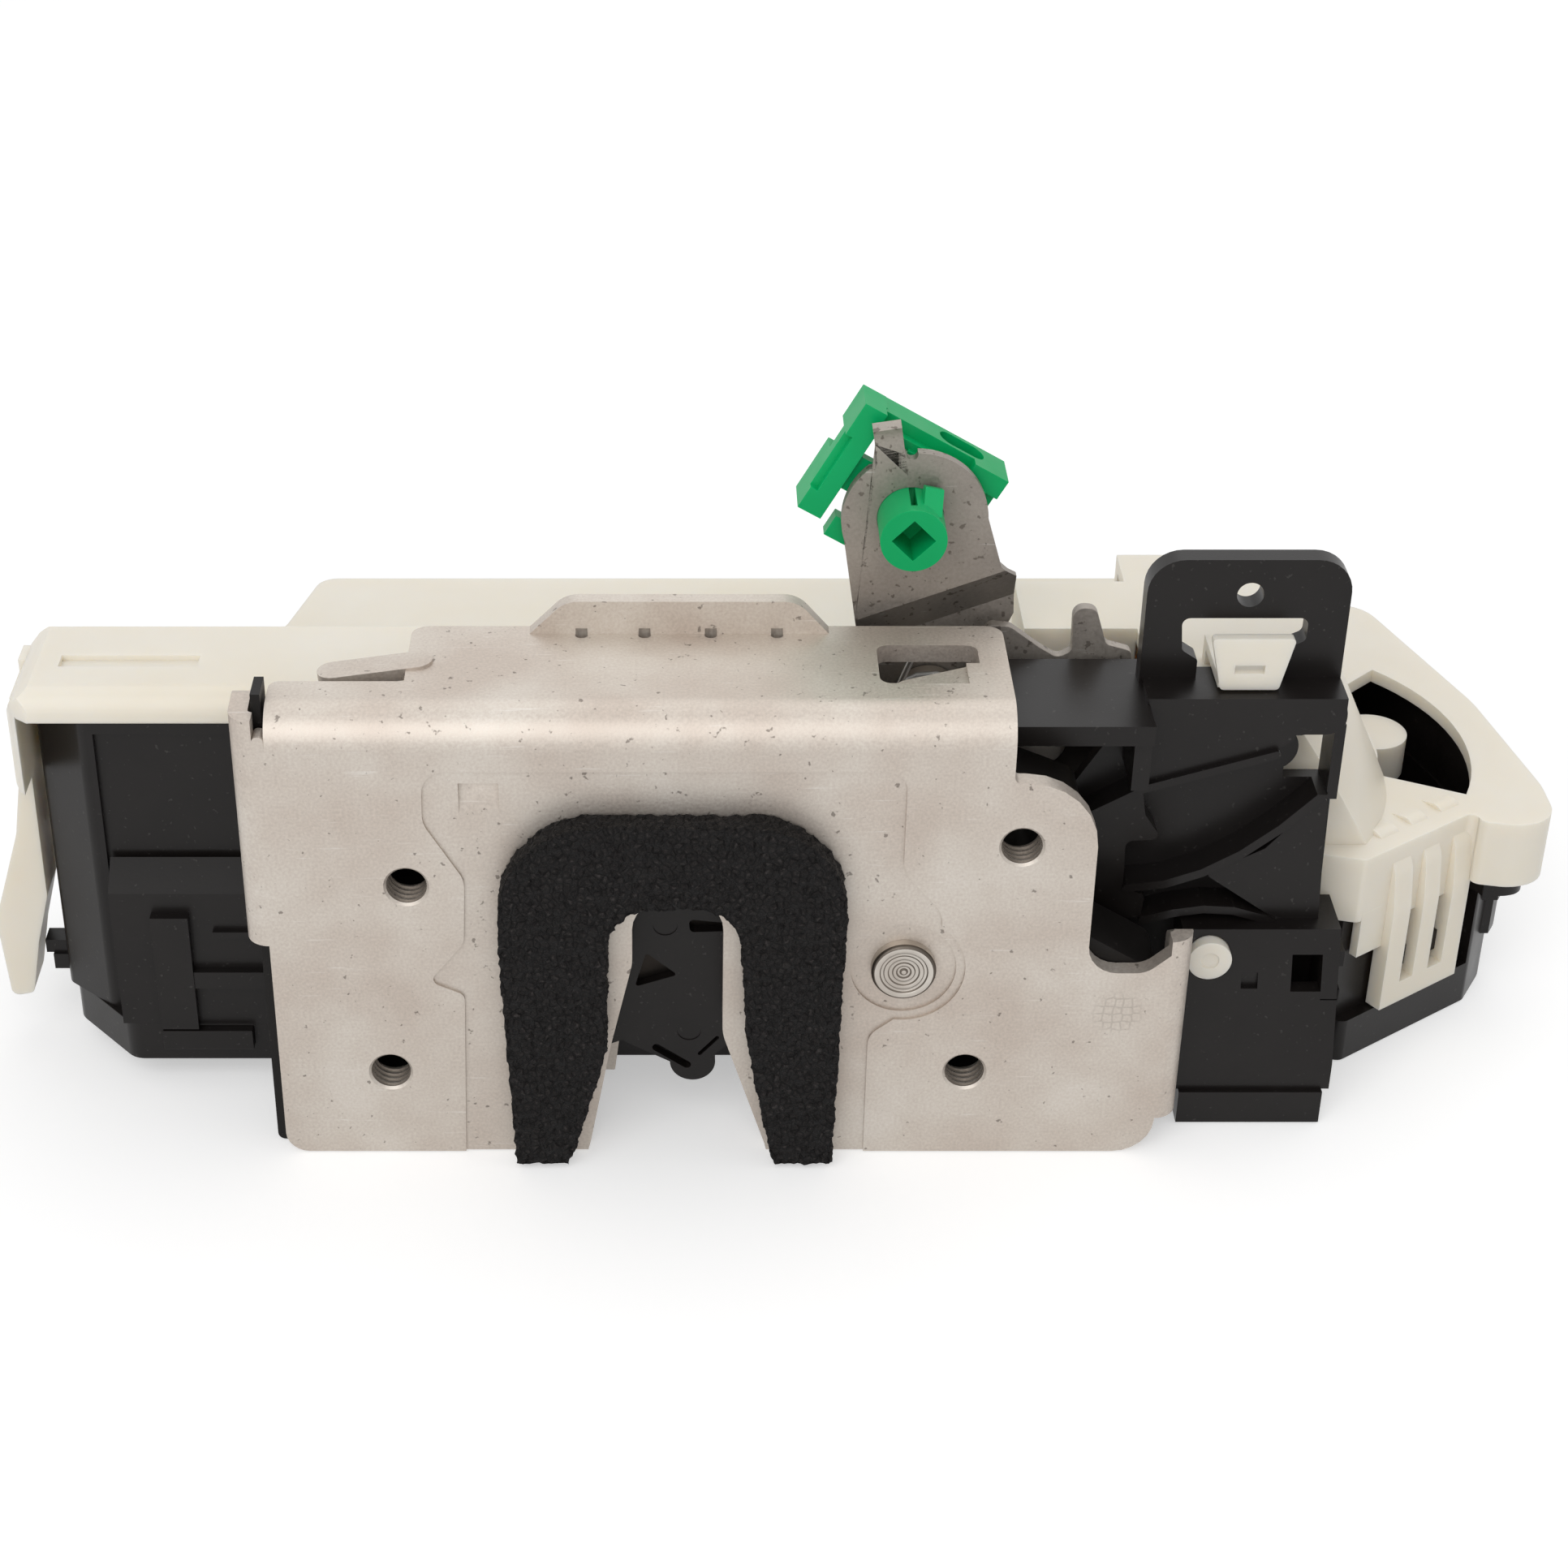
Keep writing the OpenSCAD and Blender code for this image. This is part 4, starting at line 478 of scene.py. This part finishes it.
def break_edges(piece: bpy.types.Object, width: float) -> None:
    """Rounds the sharp edges of a piece.

    Args:
        piece: The piece.
        width: How far an edge is broken, in millimetres; none leaves the edges as cut.
    """
    if not width:
        return
    apply_modifier(piece, "BEVEL", width=width * MM, segments=2, limit_method="ANGLE",
                   angle_limit=BROKEN_ANGLE, use_clamp_overlap=True, miter_outer="MITER_ARC",
                   harden_normals=False)
    bpy.ops.object.mode_set(mode="EDIT")
    bpy.ops.mesh.select_all(action="SELECT")
    bpy.ops.mesh.dissolve_degenerate(threshold=COLLAPSED)
    bpy.ops.object.mode_set(mode="OBJECT")


def skin(node: str, body: str, edge: Edge, *finishes: Finish) -> bpy.types.Object:
    """Replaces a node by a copy whose edges are broken as the maker's tool leaves them.

    Args:
        node: The node's name.
        body: The body it rides on.
        edge: How far its edges are broken.
        finishes: One finish for each material slot.

    Returns:
        The dressed piece.
    """
    return finished(merged_copy(node, f"{node}_surface"), node, body, edge, *finishes)


def finished(piece: bpy.types.Object, node: str, body: str, edge: Edge,
             *finishes: Finish) -> bpy.types.Object:
    """Breaks the edges of a node's copy, dresses it and puts it in the node's place.

    Args:
        piece: The copy, perhaps with cuts of its own.
        node: The node's name.
        body: The body it rides on.
        edge: How far its edges are broken.
        finishes: One finish for each material slot.

    Returns:
        The dressed piece.
    """
    break_edges(piece, edge.value)
    smooth(piece)
    dress(piece, *finishes)
    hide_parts(node)
    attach(piece, body)
    log.info("%s: %d faces on %s", piece.name, len(piece.data.polygons), body)
    return piece


def plain(node: str, finish: Finish) -> None:
    """Gives a construction node that keeps its own mesh a finish."""
    dress(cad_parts[node], finish)
    log.info("%s: own mesh, %s", node, finish.name)


def turned(name: str, x: float, z: float, stations: tuple[tuple[float, float], ...],
           sides: int = 64) -> bpy.types.Object:
    """Turns a solid about a Y axis, ring by ring.

    Args:
        name: The piece's name.
        x: Its axis across the plate, in millimetres.
        z: Its axis above the lower edge, in millimetres.
        stations: Depth and radius of each ring, in millimetres.
        sides: Sides of each ring.

    Returns:
        The closed solid.
    """
    deselect()
    depth, radius = stations[0]
    bpy.ops.mesh.primitive_circle_add(vertices=sides, radius=radius * MM, fill_type="NGON",
                                      location=(x * MM, depth * MM, z * MM), rotation=(math.pi / 2, 0, 0))
    piece = bpy.context.object
    piece.name = name
    bpy.ops.object.transform_apply(location=True, rotation=True, scale=True)
    bpy.ops.object.mode_set(mode="EDIT")
    bpy.ops.mesh.select_all(action="SELECT")
    for (d0, r0), (d1, r1) in zip(stations, stations[1:]):
        bpy.ops.mesh.extrude_region_move(TRANSFORM_OT_translate={"value": (0, (d1 - d0) * MM, 0)})
        if abs(r1 - r0) > 1e-6:
            share = r1 / r0
            bpy.ops.transform.resize(value=(share, share, share), center_override=(x * MM, d1 * MM, z * MM))
    bpy.ops.mesh.select_all(action="SELECT")
    bpy.ops.mesh.normals_make_consistent(inside=False)
    bpy.ops.object.mode_set(mode="OBJECT")
    return piece


@dataclass
class LatchPlate:
    """The pressed plate with its threads, its seal and the housing behind it."""

    hole_places: tuple[tuple[float, float], ...] = ((-34, 42), (-37.4, 13.1), (42.8, 47.9), (37.4, 13.1))
    thread_minor: float = 2.5
    thread_major: float = 2.98
    thread_turns: int = 4
    thread_start: float = 0.75
    pitch: float = 1.0
    collar: float = 5.0
    chamfer: float = 0.32
    foam_cell: float = 0.42
    crumb_size: float = 1.1
    crumb_depth: float = 0.75
    pore_size: float = 0.5
    pore_depth: float = 0.3

    def build(self) -> None:
        """Builds the plate and what is fixed to it."""
        plate = merged_copy("latch_plate", "latch_plate_surface")
        for number, (x, z) in enumerate(self.hole_places, 1):
            self.open_hole(plate, x, z)
            self.thread(number, x, z)
        finished(plate, "latch_plate", "frame", Edge.AS_CUT, PLATE_ZINC)
        skin("latch_housing", "frame", Edge.MOULDED, BLACK_OVERMOULD)
        skin("back_plate", "frame", Edge.TURNED, PLATE_ZINC)
        self.seal()

    def open_hole(self, plate: bpy.types.Object, x: float, z: float) -> None:
        """Widens a tapped hole of the plate to the root of its thread, behind its chamfer.

        Args:
            plate: The plate's copy.
            x: The hole's place across the plate, in millimetres.
            z: Its place above the lower edge, in millimetres.
        """
        reach = self.collar + 0.6
        deselect()
        bpy.ops.mesh.primitive_cylinder_add(vertices=48, radius=self.thread_major * MM, depth=reach * MM,
                                            location=(x * MM, (reach / 2 + self.chamfer) * MM, z * MM),
                                            rotation=(math.pi / 2, 0, 0))
        tool = bpy.context.object
        apply_modifier(plate, "BOOLEAN", operation="DIFFERENCE", object=tool, solver="EXACT")
        bpy.data.objects.remove(tool)

    def thread(self, number: int, x: float, z: float) -> None:
        """Winds the thread ridge of one hole from a four-cornered profile.

        Args:
            number: The hole's number.
            x: Its place across the plate, in millimetres.
            z: Its place above the lower edge, in millimetres.
        """
        deselect()
        bpy.ops.mesh.primitive_circle_add(vertices=4, radius=MM, location=(0, 0, 0), fill_type="NOTHING")
        ridge = bpy.context.object
        ridge.name = f"thread_{number}"
        half = self.pitch * 0.44
        crest = self.pitch * 0.13
        root = self.thread_major + 0.04
        profile = [(self.thread_minor, -crest), (self.thread_minor, crest), (root, half), (root, -half)]
        for vertex, (radius, along) in zip(ridge.data.vertices, profile):
            vertex.co = Vector((radius * MM, 0, along * MM))
        apply_modifier(ridge, "SCREW", axis="Z", angle=math.tau, screw_offset=self.pitch * MM,
                       iterations=self.thread_turns, steps=32, render_steps=32, use_smooth_shade=False)
        bpy.ops.object.mode_set(mode="EDIT")
        bpy.ops.mesh.select_all(action="SELECT")
        bpy.ops.mesh.remove_doubles(threshold=COLLAPSED)
        bpy.ops.mesh.select_all(action="DESELECT")
        bpy.ops.mesh.select_non_manifold()
        bpy.ops.mesh.edge_face_add()
        bpy.ops.mesh.select_all(action="SELECT")
        bpy.ops.mesh.normals_make_consistent(inside=False)
        bpy.ops.object.mode_set(mode="OBJECT")
        ridge.rotation_euler = (-math.pi / 2, 0, 0)
        ridge.location = (x * MM, self.thread_start * MM, z * MM)
        activate(ridge)
        bpy.ops.object.transform_apply(location=True, rotation=True, scale=True)
        smooth(ridge, 20)
        dress(ridge, PLATE_ZINC, FLANK_AND_GROOVE_SHADE)
        # flanks that face along the hole take the darker finish: painted shade between the thread turns
        for face in ridge.data.polygons:
            face.material_index = 1 if abs(face.normal.y) > 0.5 else 0
        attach(ridge, "frame")
        log.info("%s: %d faces", ridge.name, len(ridge.data.polygons))

    def seal(self) -> None:
        """Cuts the foam seal: remeshed fine, then broken up into crumbs that stay inside its sheet."""
        foam = merged_copy("foam_seal", "foam_seal_surface")
        apply_modifier(foam, "REMESH", mode="VOXEL", voxel_size=self.foam_cell * MM)
        for name, kind, size, depth in (("crumbs", "VORONOI", self.crumb_size, self.crumb_depth),
                                        ("pores", "CLOUDS", self.pore_size, self.pore_depth)):
            relief = bpy.data.textures.new(name, kind)
            relief.noise_scale = size * MM
            apply_modifier(foam, "DISPLACE", texture=relief, texture_coords="LOCAL", strength=depth * MM,
                           mid_level=1.0)
        smooth(foam, 180)
        dress(foam, SEAL_FOAM)
        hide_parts("foam_seal")
        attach(foam, "frame")
        log.info("%s: %d faces", foam.name, len(foam.data.polygons))


@dataclass
class ClawAndPawl:
    """The overmoulded claw, the pawl and their rivets and springs."""

    claw_x: float = 28.8
    claw_z: float = 29.4
    head_radius: float = 4.15
    shank_radius: float = 3.2
    tail_radius: float = 4.35
    tail_end: float = 15.3
    # depth and radius of each ring that the forming tool leaves in the head, from its middle outwards
    head_rings: tuple[tuple[float, float], ...] = (
        (-0.66, 0.3), (-0.46, 0.55), (-0.46, 0.8), (-0.62, 1.0), (-0.64, 1.35), (-0.5, 1.5), (-0.52, 1.9),
        (-0.7, 2.05), (-0.72, 2.5), (-0.62, 2.62), (-0.64, 2.95), (-0.84, 3.1), (-0.88, 3.75), (-0.74, 4.0))

    def build(self) -> None:
        """Builds the claw, the pawl and what they turn on."""
        skin("fork_bolt_cover", "claw", Edge.MOULDED, BLACK_PLASTIC)
        # the core is near black as painted shade: it stands for the dark hollow in the cover's triangular
        # opening
        skin("fork_bolt_core", "claw", Edge.TURNED, NEAR_BLACK_STEEL_AND_CORE_SHADE)
        skin("pawl", "pawl", Edge.TURNED, NEAR_BLACK_STEEL_AND_CORE_SHADE)
        self.rivet()
        skin("pawl_rivet", "frame", Edge.TURNED, RIVET_STEEL)
        skin("claw_bumper", "frame", Edge.TURNED, BUMPER_RUBBER)
        for node in ("fork_bolt_spring", "pawl_spring"):
            skin(node, "frame", Edge.SHARP, SPRING_STEEL)

    def rivet(self) -> None:
        """Turns the claw's rivet, its head marked by the rings of the forming tool."""
        shank = ((-0.4, self.head_radius), (0.68, self.head_radius), (0.7, self.shank_radius),
                 (14.5, self.shank_radius))
        tail = ((14.52, self.tail_radius), (self.tail_end - 0.3, self.tail_radius), (self.tail_end, 3.9))
        rivet = turned("fork_bolt_rivet_surface", self.claw_x, self.claw_z, self.head_rings + shank + tail)
        smooth(rivet, 50)
        dress(rivet, RIVET_STEEL, FLANK_AND_GROOVE_SHADE)
        # the side walls of the head's rings take the darker finish: painted shade in the grooves
        for face in rivet.data.polygons:
            if face.center.y < 0 and abs(face.normal.y) < 0.88:
                face.material_index = 1
        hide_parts("fork_bolt_rivet")
        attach(rivet, "frame")
        log.info("%s: %d faces", rivet.name, len(rivet.data.polygons))


@dataclass
class ReleaseLevers:
    """The two release levers with their pins, springs and the rod clip."""

    outside_edge: Edge = Edge.AS_CUT
    inside_edge: Edge = Edge.TURNED
    clip_edge: Edge = Edge.TURNED
    pin_edge: Edge = Edge.TURNED
    wire_edge: Edge = Edge.SHARP

    def build(self) -> None:
        """Builds the levers."""
        skin("outside_release_lever", "outside_lever", self.outside_edge, LEVER_ZINC)
        self.pivot("outside")
        skin("rod_clip", "clip", self.clip_edge, GREEN_ACETAL)
        skin("inside_release_lever", "inside_lever", self.inside_edge, LEVER_ZINC)
        self.pivot("inside")

    def pivot(self, side: str) -> None:
        """Sets one lever's pin and the return spring round it."""
        skin(f"{side}_lever_pin", "frame", self.pin_edge, RIVET_STEEL)
        skin(f"{side}_lever_spring", "frame", self.wire_edge, SPRING_STEEL)


@dataclass
class Housings:
    """The cable bracket and the shells of the actuator box."""

    shell_edge: Edge = Edge.MOULDED
    cover_edge: Edge = Edge.AS_CUT
    fixing_edge: Edge = Edge.TURNED

    def build(self) -> None:
        """Builds the mouldings and what holds them."""
        for node in ("cable_bracket", "actuator_base", "lower_cover"):
            skin(node, "frame", self.shell_edge, BLACK_PLASTIC)
        skin("actuator_cover", "frame", self.cover_edge, NATURAL_NYLON)
        skin("stake_post", "frame", self.fixing_edge, NATURAL_NYLON)
        skin("cover_screws", "frame", self.fixing_edge, RIVET_STEEL)


@dataclass
class LockDrive:
    """The motor, its gears, the lock lever and the electrical pieces."""

    can_edge: Edge = Edge.MOULDED
    small_edge: Edge = Edge.TURNED
    pin_edge: Edge = Edge.SHARP

    def build(self) -> None:
        """Builds the drive, with the gear teeth as the construction has them."""
        skin("motor_can", "frame", self.can_edge, MOTOR_STEEL)
        skin("motor_end_cap", "frame", self.small_edge, BLACK_PLASTIC)
        skin("lock_lever", "lock", self.small_edge, NATURAL_NYLON)
        for node in ("lock_lever_axle", "wheel_axle"):
            skin(node, "frame", self.small_edge, RIVET_STEEL)
        skin("circuit_carrier", "frame", self.small_edge, BLACK_PLASTIC)
        for node in ("ajar_switch", "lock_switch"):
            skin(node, "frame", self.small_edge, BLACK_OVERMOULD)
        for node in ("connector_pins", "motor_terminals"):
            skin(node, "frame", self.pin_edge, TERMINAL_BRASS)
        plain("motor_shaft", RIVET_STEEL)
        for node in ("motor_worm", "worm_wheel"):
            plain(node, NATURAL_NYLON)


@dataclass
class Studio:
    """Camera, pale floor and soft light."""

    focal_pixels: float = 3600.0
    tilt: float = 32.0
    distance: float = 360.0
    aim_height: float = 53.15
    centre_x: float = 835.0
    centre_y: float = 1000.0
    sensor: float = 36.0
    world_light: float = 0.52
    floor_glow: float = 0.42
    floor_side: float = 6.0
    floor_gap: float = 0.2

    def build(self) -> None:
        """Sets the scene up."""
        self.camera()
        self.floor()
        self.world()
        self.lamp("key", (-0.3, -0.85, 0.75), 1.0, 6.4)
        self.lamp("top", (0.25, 0.45, 1.0), 1.2, 3.4)
        bpy.context.scene.view_settings.view_transform = "Standard"

    def camera(self) -> None:
        """Sets the camera as the photograph was taken."""
        data = bpy.data.cameras.new("camera")
        data.sensor_width = self.sensor
        data.lens = self.focal_pixels / PHOTO_SIDE * self.sensor
        data.shift_x = (PHOTO_SIDE / 2 - self.centre_x) / PHOTO_SIDE
        data.shift_y = (self.centre_y - PHOTO_SIDE / 2) / PHOTO_SIDE
        data.clip_start = 0.01
        camera = bpy.data.objects.new("camera", data)
        tilt = math.radians(self.tilt)
        camera.location = (0, -self.distance * math.cos(tilt) * MM,
                           (self.aim_height + self.distance * math.sin(tilt)) * MM)
        camera.rotation_euler = (math.pi / 2 - tilt, 0, 0)
        bpy.context.scene.collection.objects.link(camera)
        bpy.context.scene.camera = camera

    def seen(self, tree: bpy.types.NodeTree) -> bpy.types.NodeSocket:
        """Gives 1 for rays that show a background: from the camera, a gloss or a clear piece."""
        path = tree.nodes.new("ShaderNodeLightPath")
        both = add_node(tree, "ShaderNodeMath",
                        {0: path.outputs["Is Camera Ray"], 1: path.outputs["Is Glossy Ray"]},
                        operation="MAXIMUM")
        every = add_node(tree, "ShaderNodeMath", {0: both.outputs[0], 1: path.outputs["Is Transmission Ray"]},
                         operation="MAXIMUM")
        return every.outputs[0]

    def floor(self) -> None:
        """Lays the floor that the object stands on."""
        deselect()
        bpy.ops.mesh.primitive_plane_add(size=self.floor_side, location=(0, 0, -self.floor_gap * MM))
        floor = bpy.context.object
        floor.name = "floor"
        made = bpy.data.materials.new("pale_floor")
        made.use_nodes = True
        tree = made.node_tree
        tree.nodes.clear()
        matt = add_node(tree, "ShaderNodeBsdfDiffuse", {"Color": FLOOR_GREY})
        glow = add_node(tree, "ShaderNodeEmission", {"Color": WHITE, "Strength": self.floor_glow})
        lit = add_node(tree, "ShaderNodeAddShader", {0: matt.outputs[0], 1: glow.outputs[0]})
        mix = add_node(tree, "ShaderNodeMixShader",
                       {0: self.seen(tree), 1: matt.outputs[0], 2: lit.outputs[0]})
        add_node(tree, "ShaderNodeOutputMaterial", {"Surface": mix.outputs[0]})
        floor.data.materials.append(made)

    def world(self) -> None:
        """Surrounds the scene with even light, white where it is seen."""
        world = bpy.data.worlds.new("studio")
        world.use_nodes = True
        tree = world.node_tree
        tree.nodes.clear()
        strength = add_node(tree, "ShaderNodeMapRange",
                            {"Value": self.seen(tree), "To Min": self.world_light, "To Max": 1.0})
        back = add_node(tree, "ShaderNodeBackground",
                        {"Color": WHITE, "Strength": strength.outputs["Result"]})
        add_node(tree, "ShaderNodeOutputWorld", {"Surface": back.outputs[0]})
        bpy.context.scene.world = world

    def lamp(self, name: str, place: tuple[float, float, float], size: float, power: float) -> None:
        """Hangs a soft box that looks at the object.

        Args:
            name: The lamp's name.
            place: Where it hangs, in metres.
            size: Its side, in metres.
            power: Its power in watts.
        """
        data = bpy.data.lights.new(name, "AREA")
        data.size = size
        data.energy = power
        lamp = bpy.data.objects.new(name, data)
        lamp.location = place
        lamp.rotation_euler = (LAMP_TARGET - Vector(place)).to_track_quat("-Z", "Y").to_euler()
        bpy.context.scene.collection.objects.link(lamp)


def main() -> None:
    """Builds every sub-assembly, then the studio."""
    logging.basicConfig(level=logging.INFO, format="%(message)s")
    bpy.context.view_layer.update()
    for assembly in (LatchPlate(), ClawAndPawl(), ReleaseLevers(), Housings(), LockDrive(), Studio()):
        assembly.build()
    deselect()


if __name__ == "__main__":
    main()
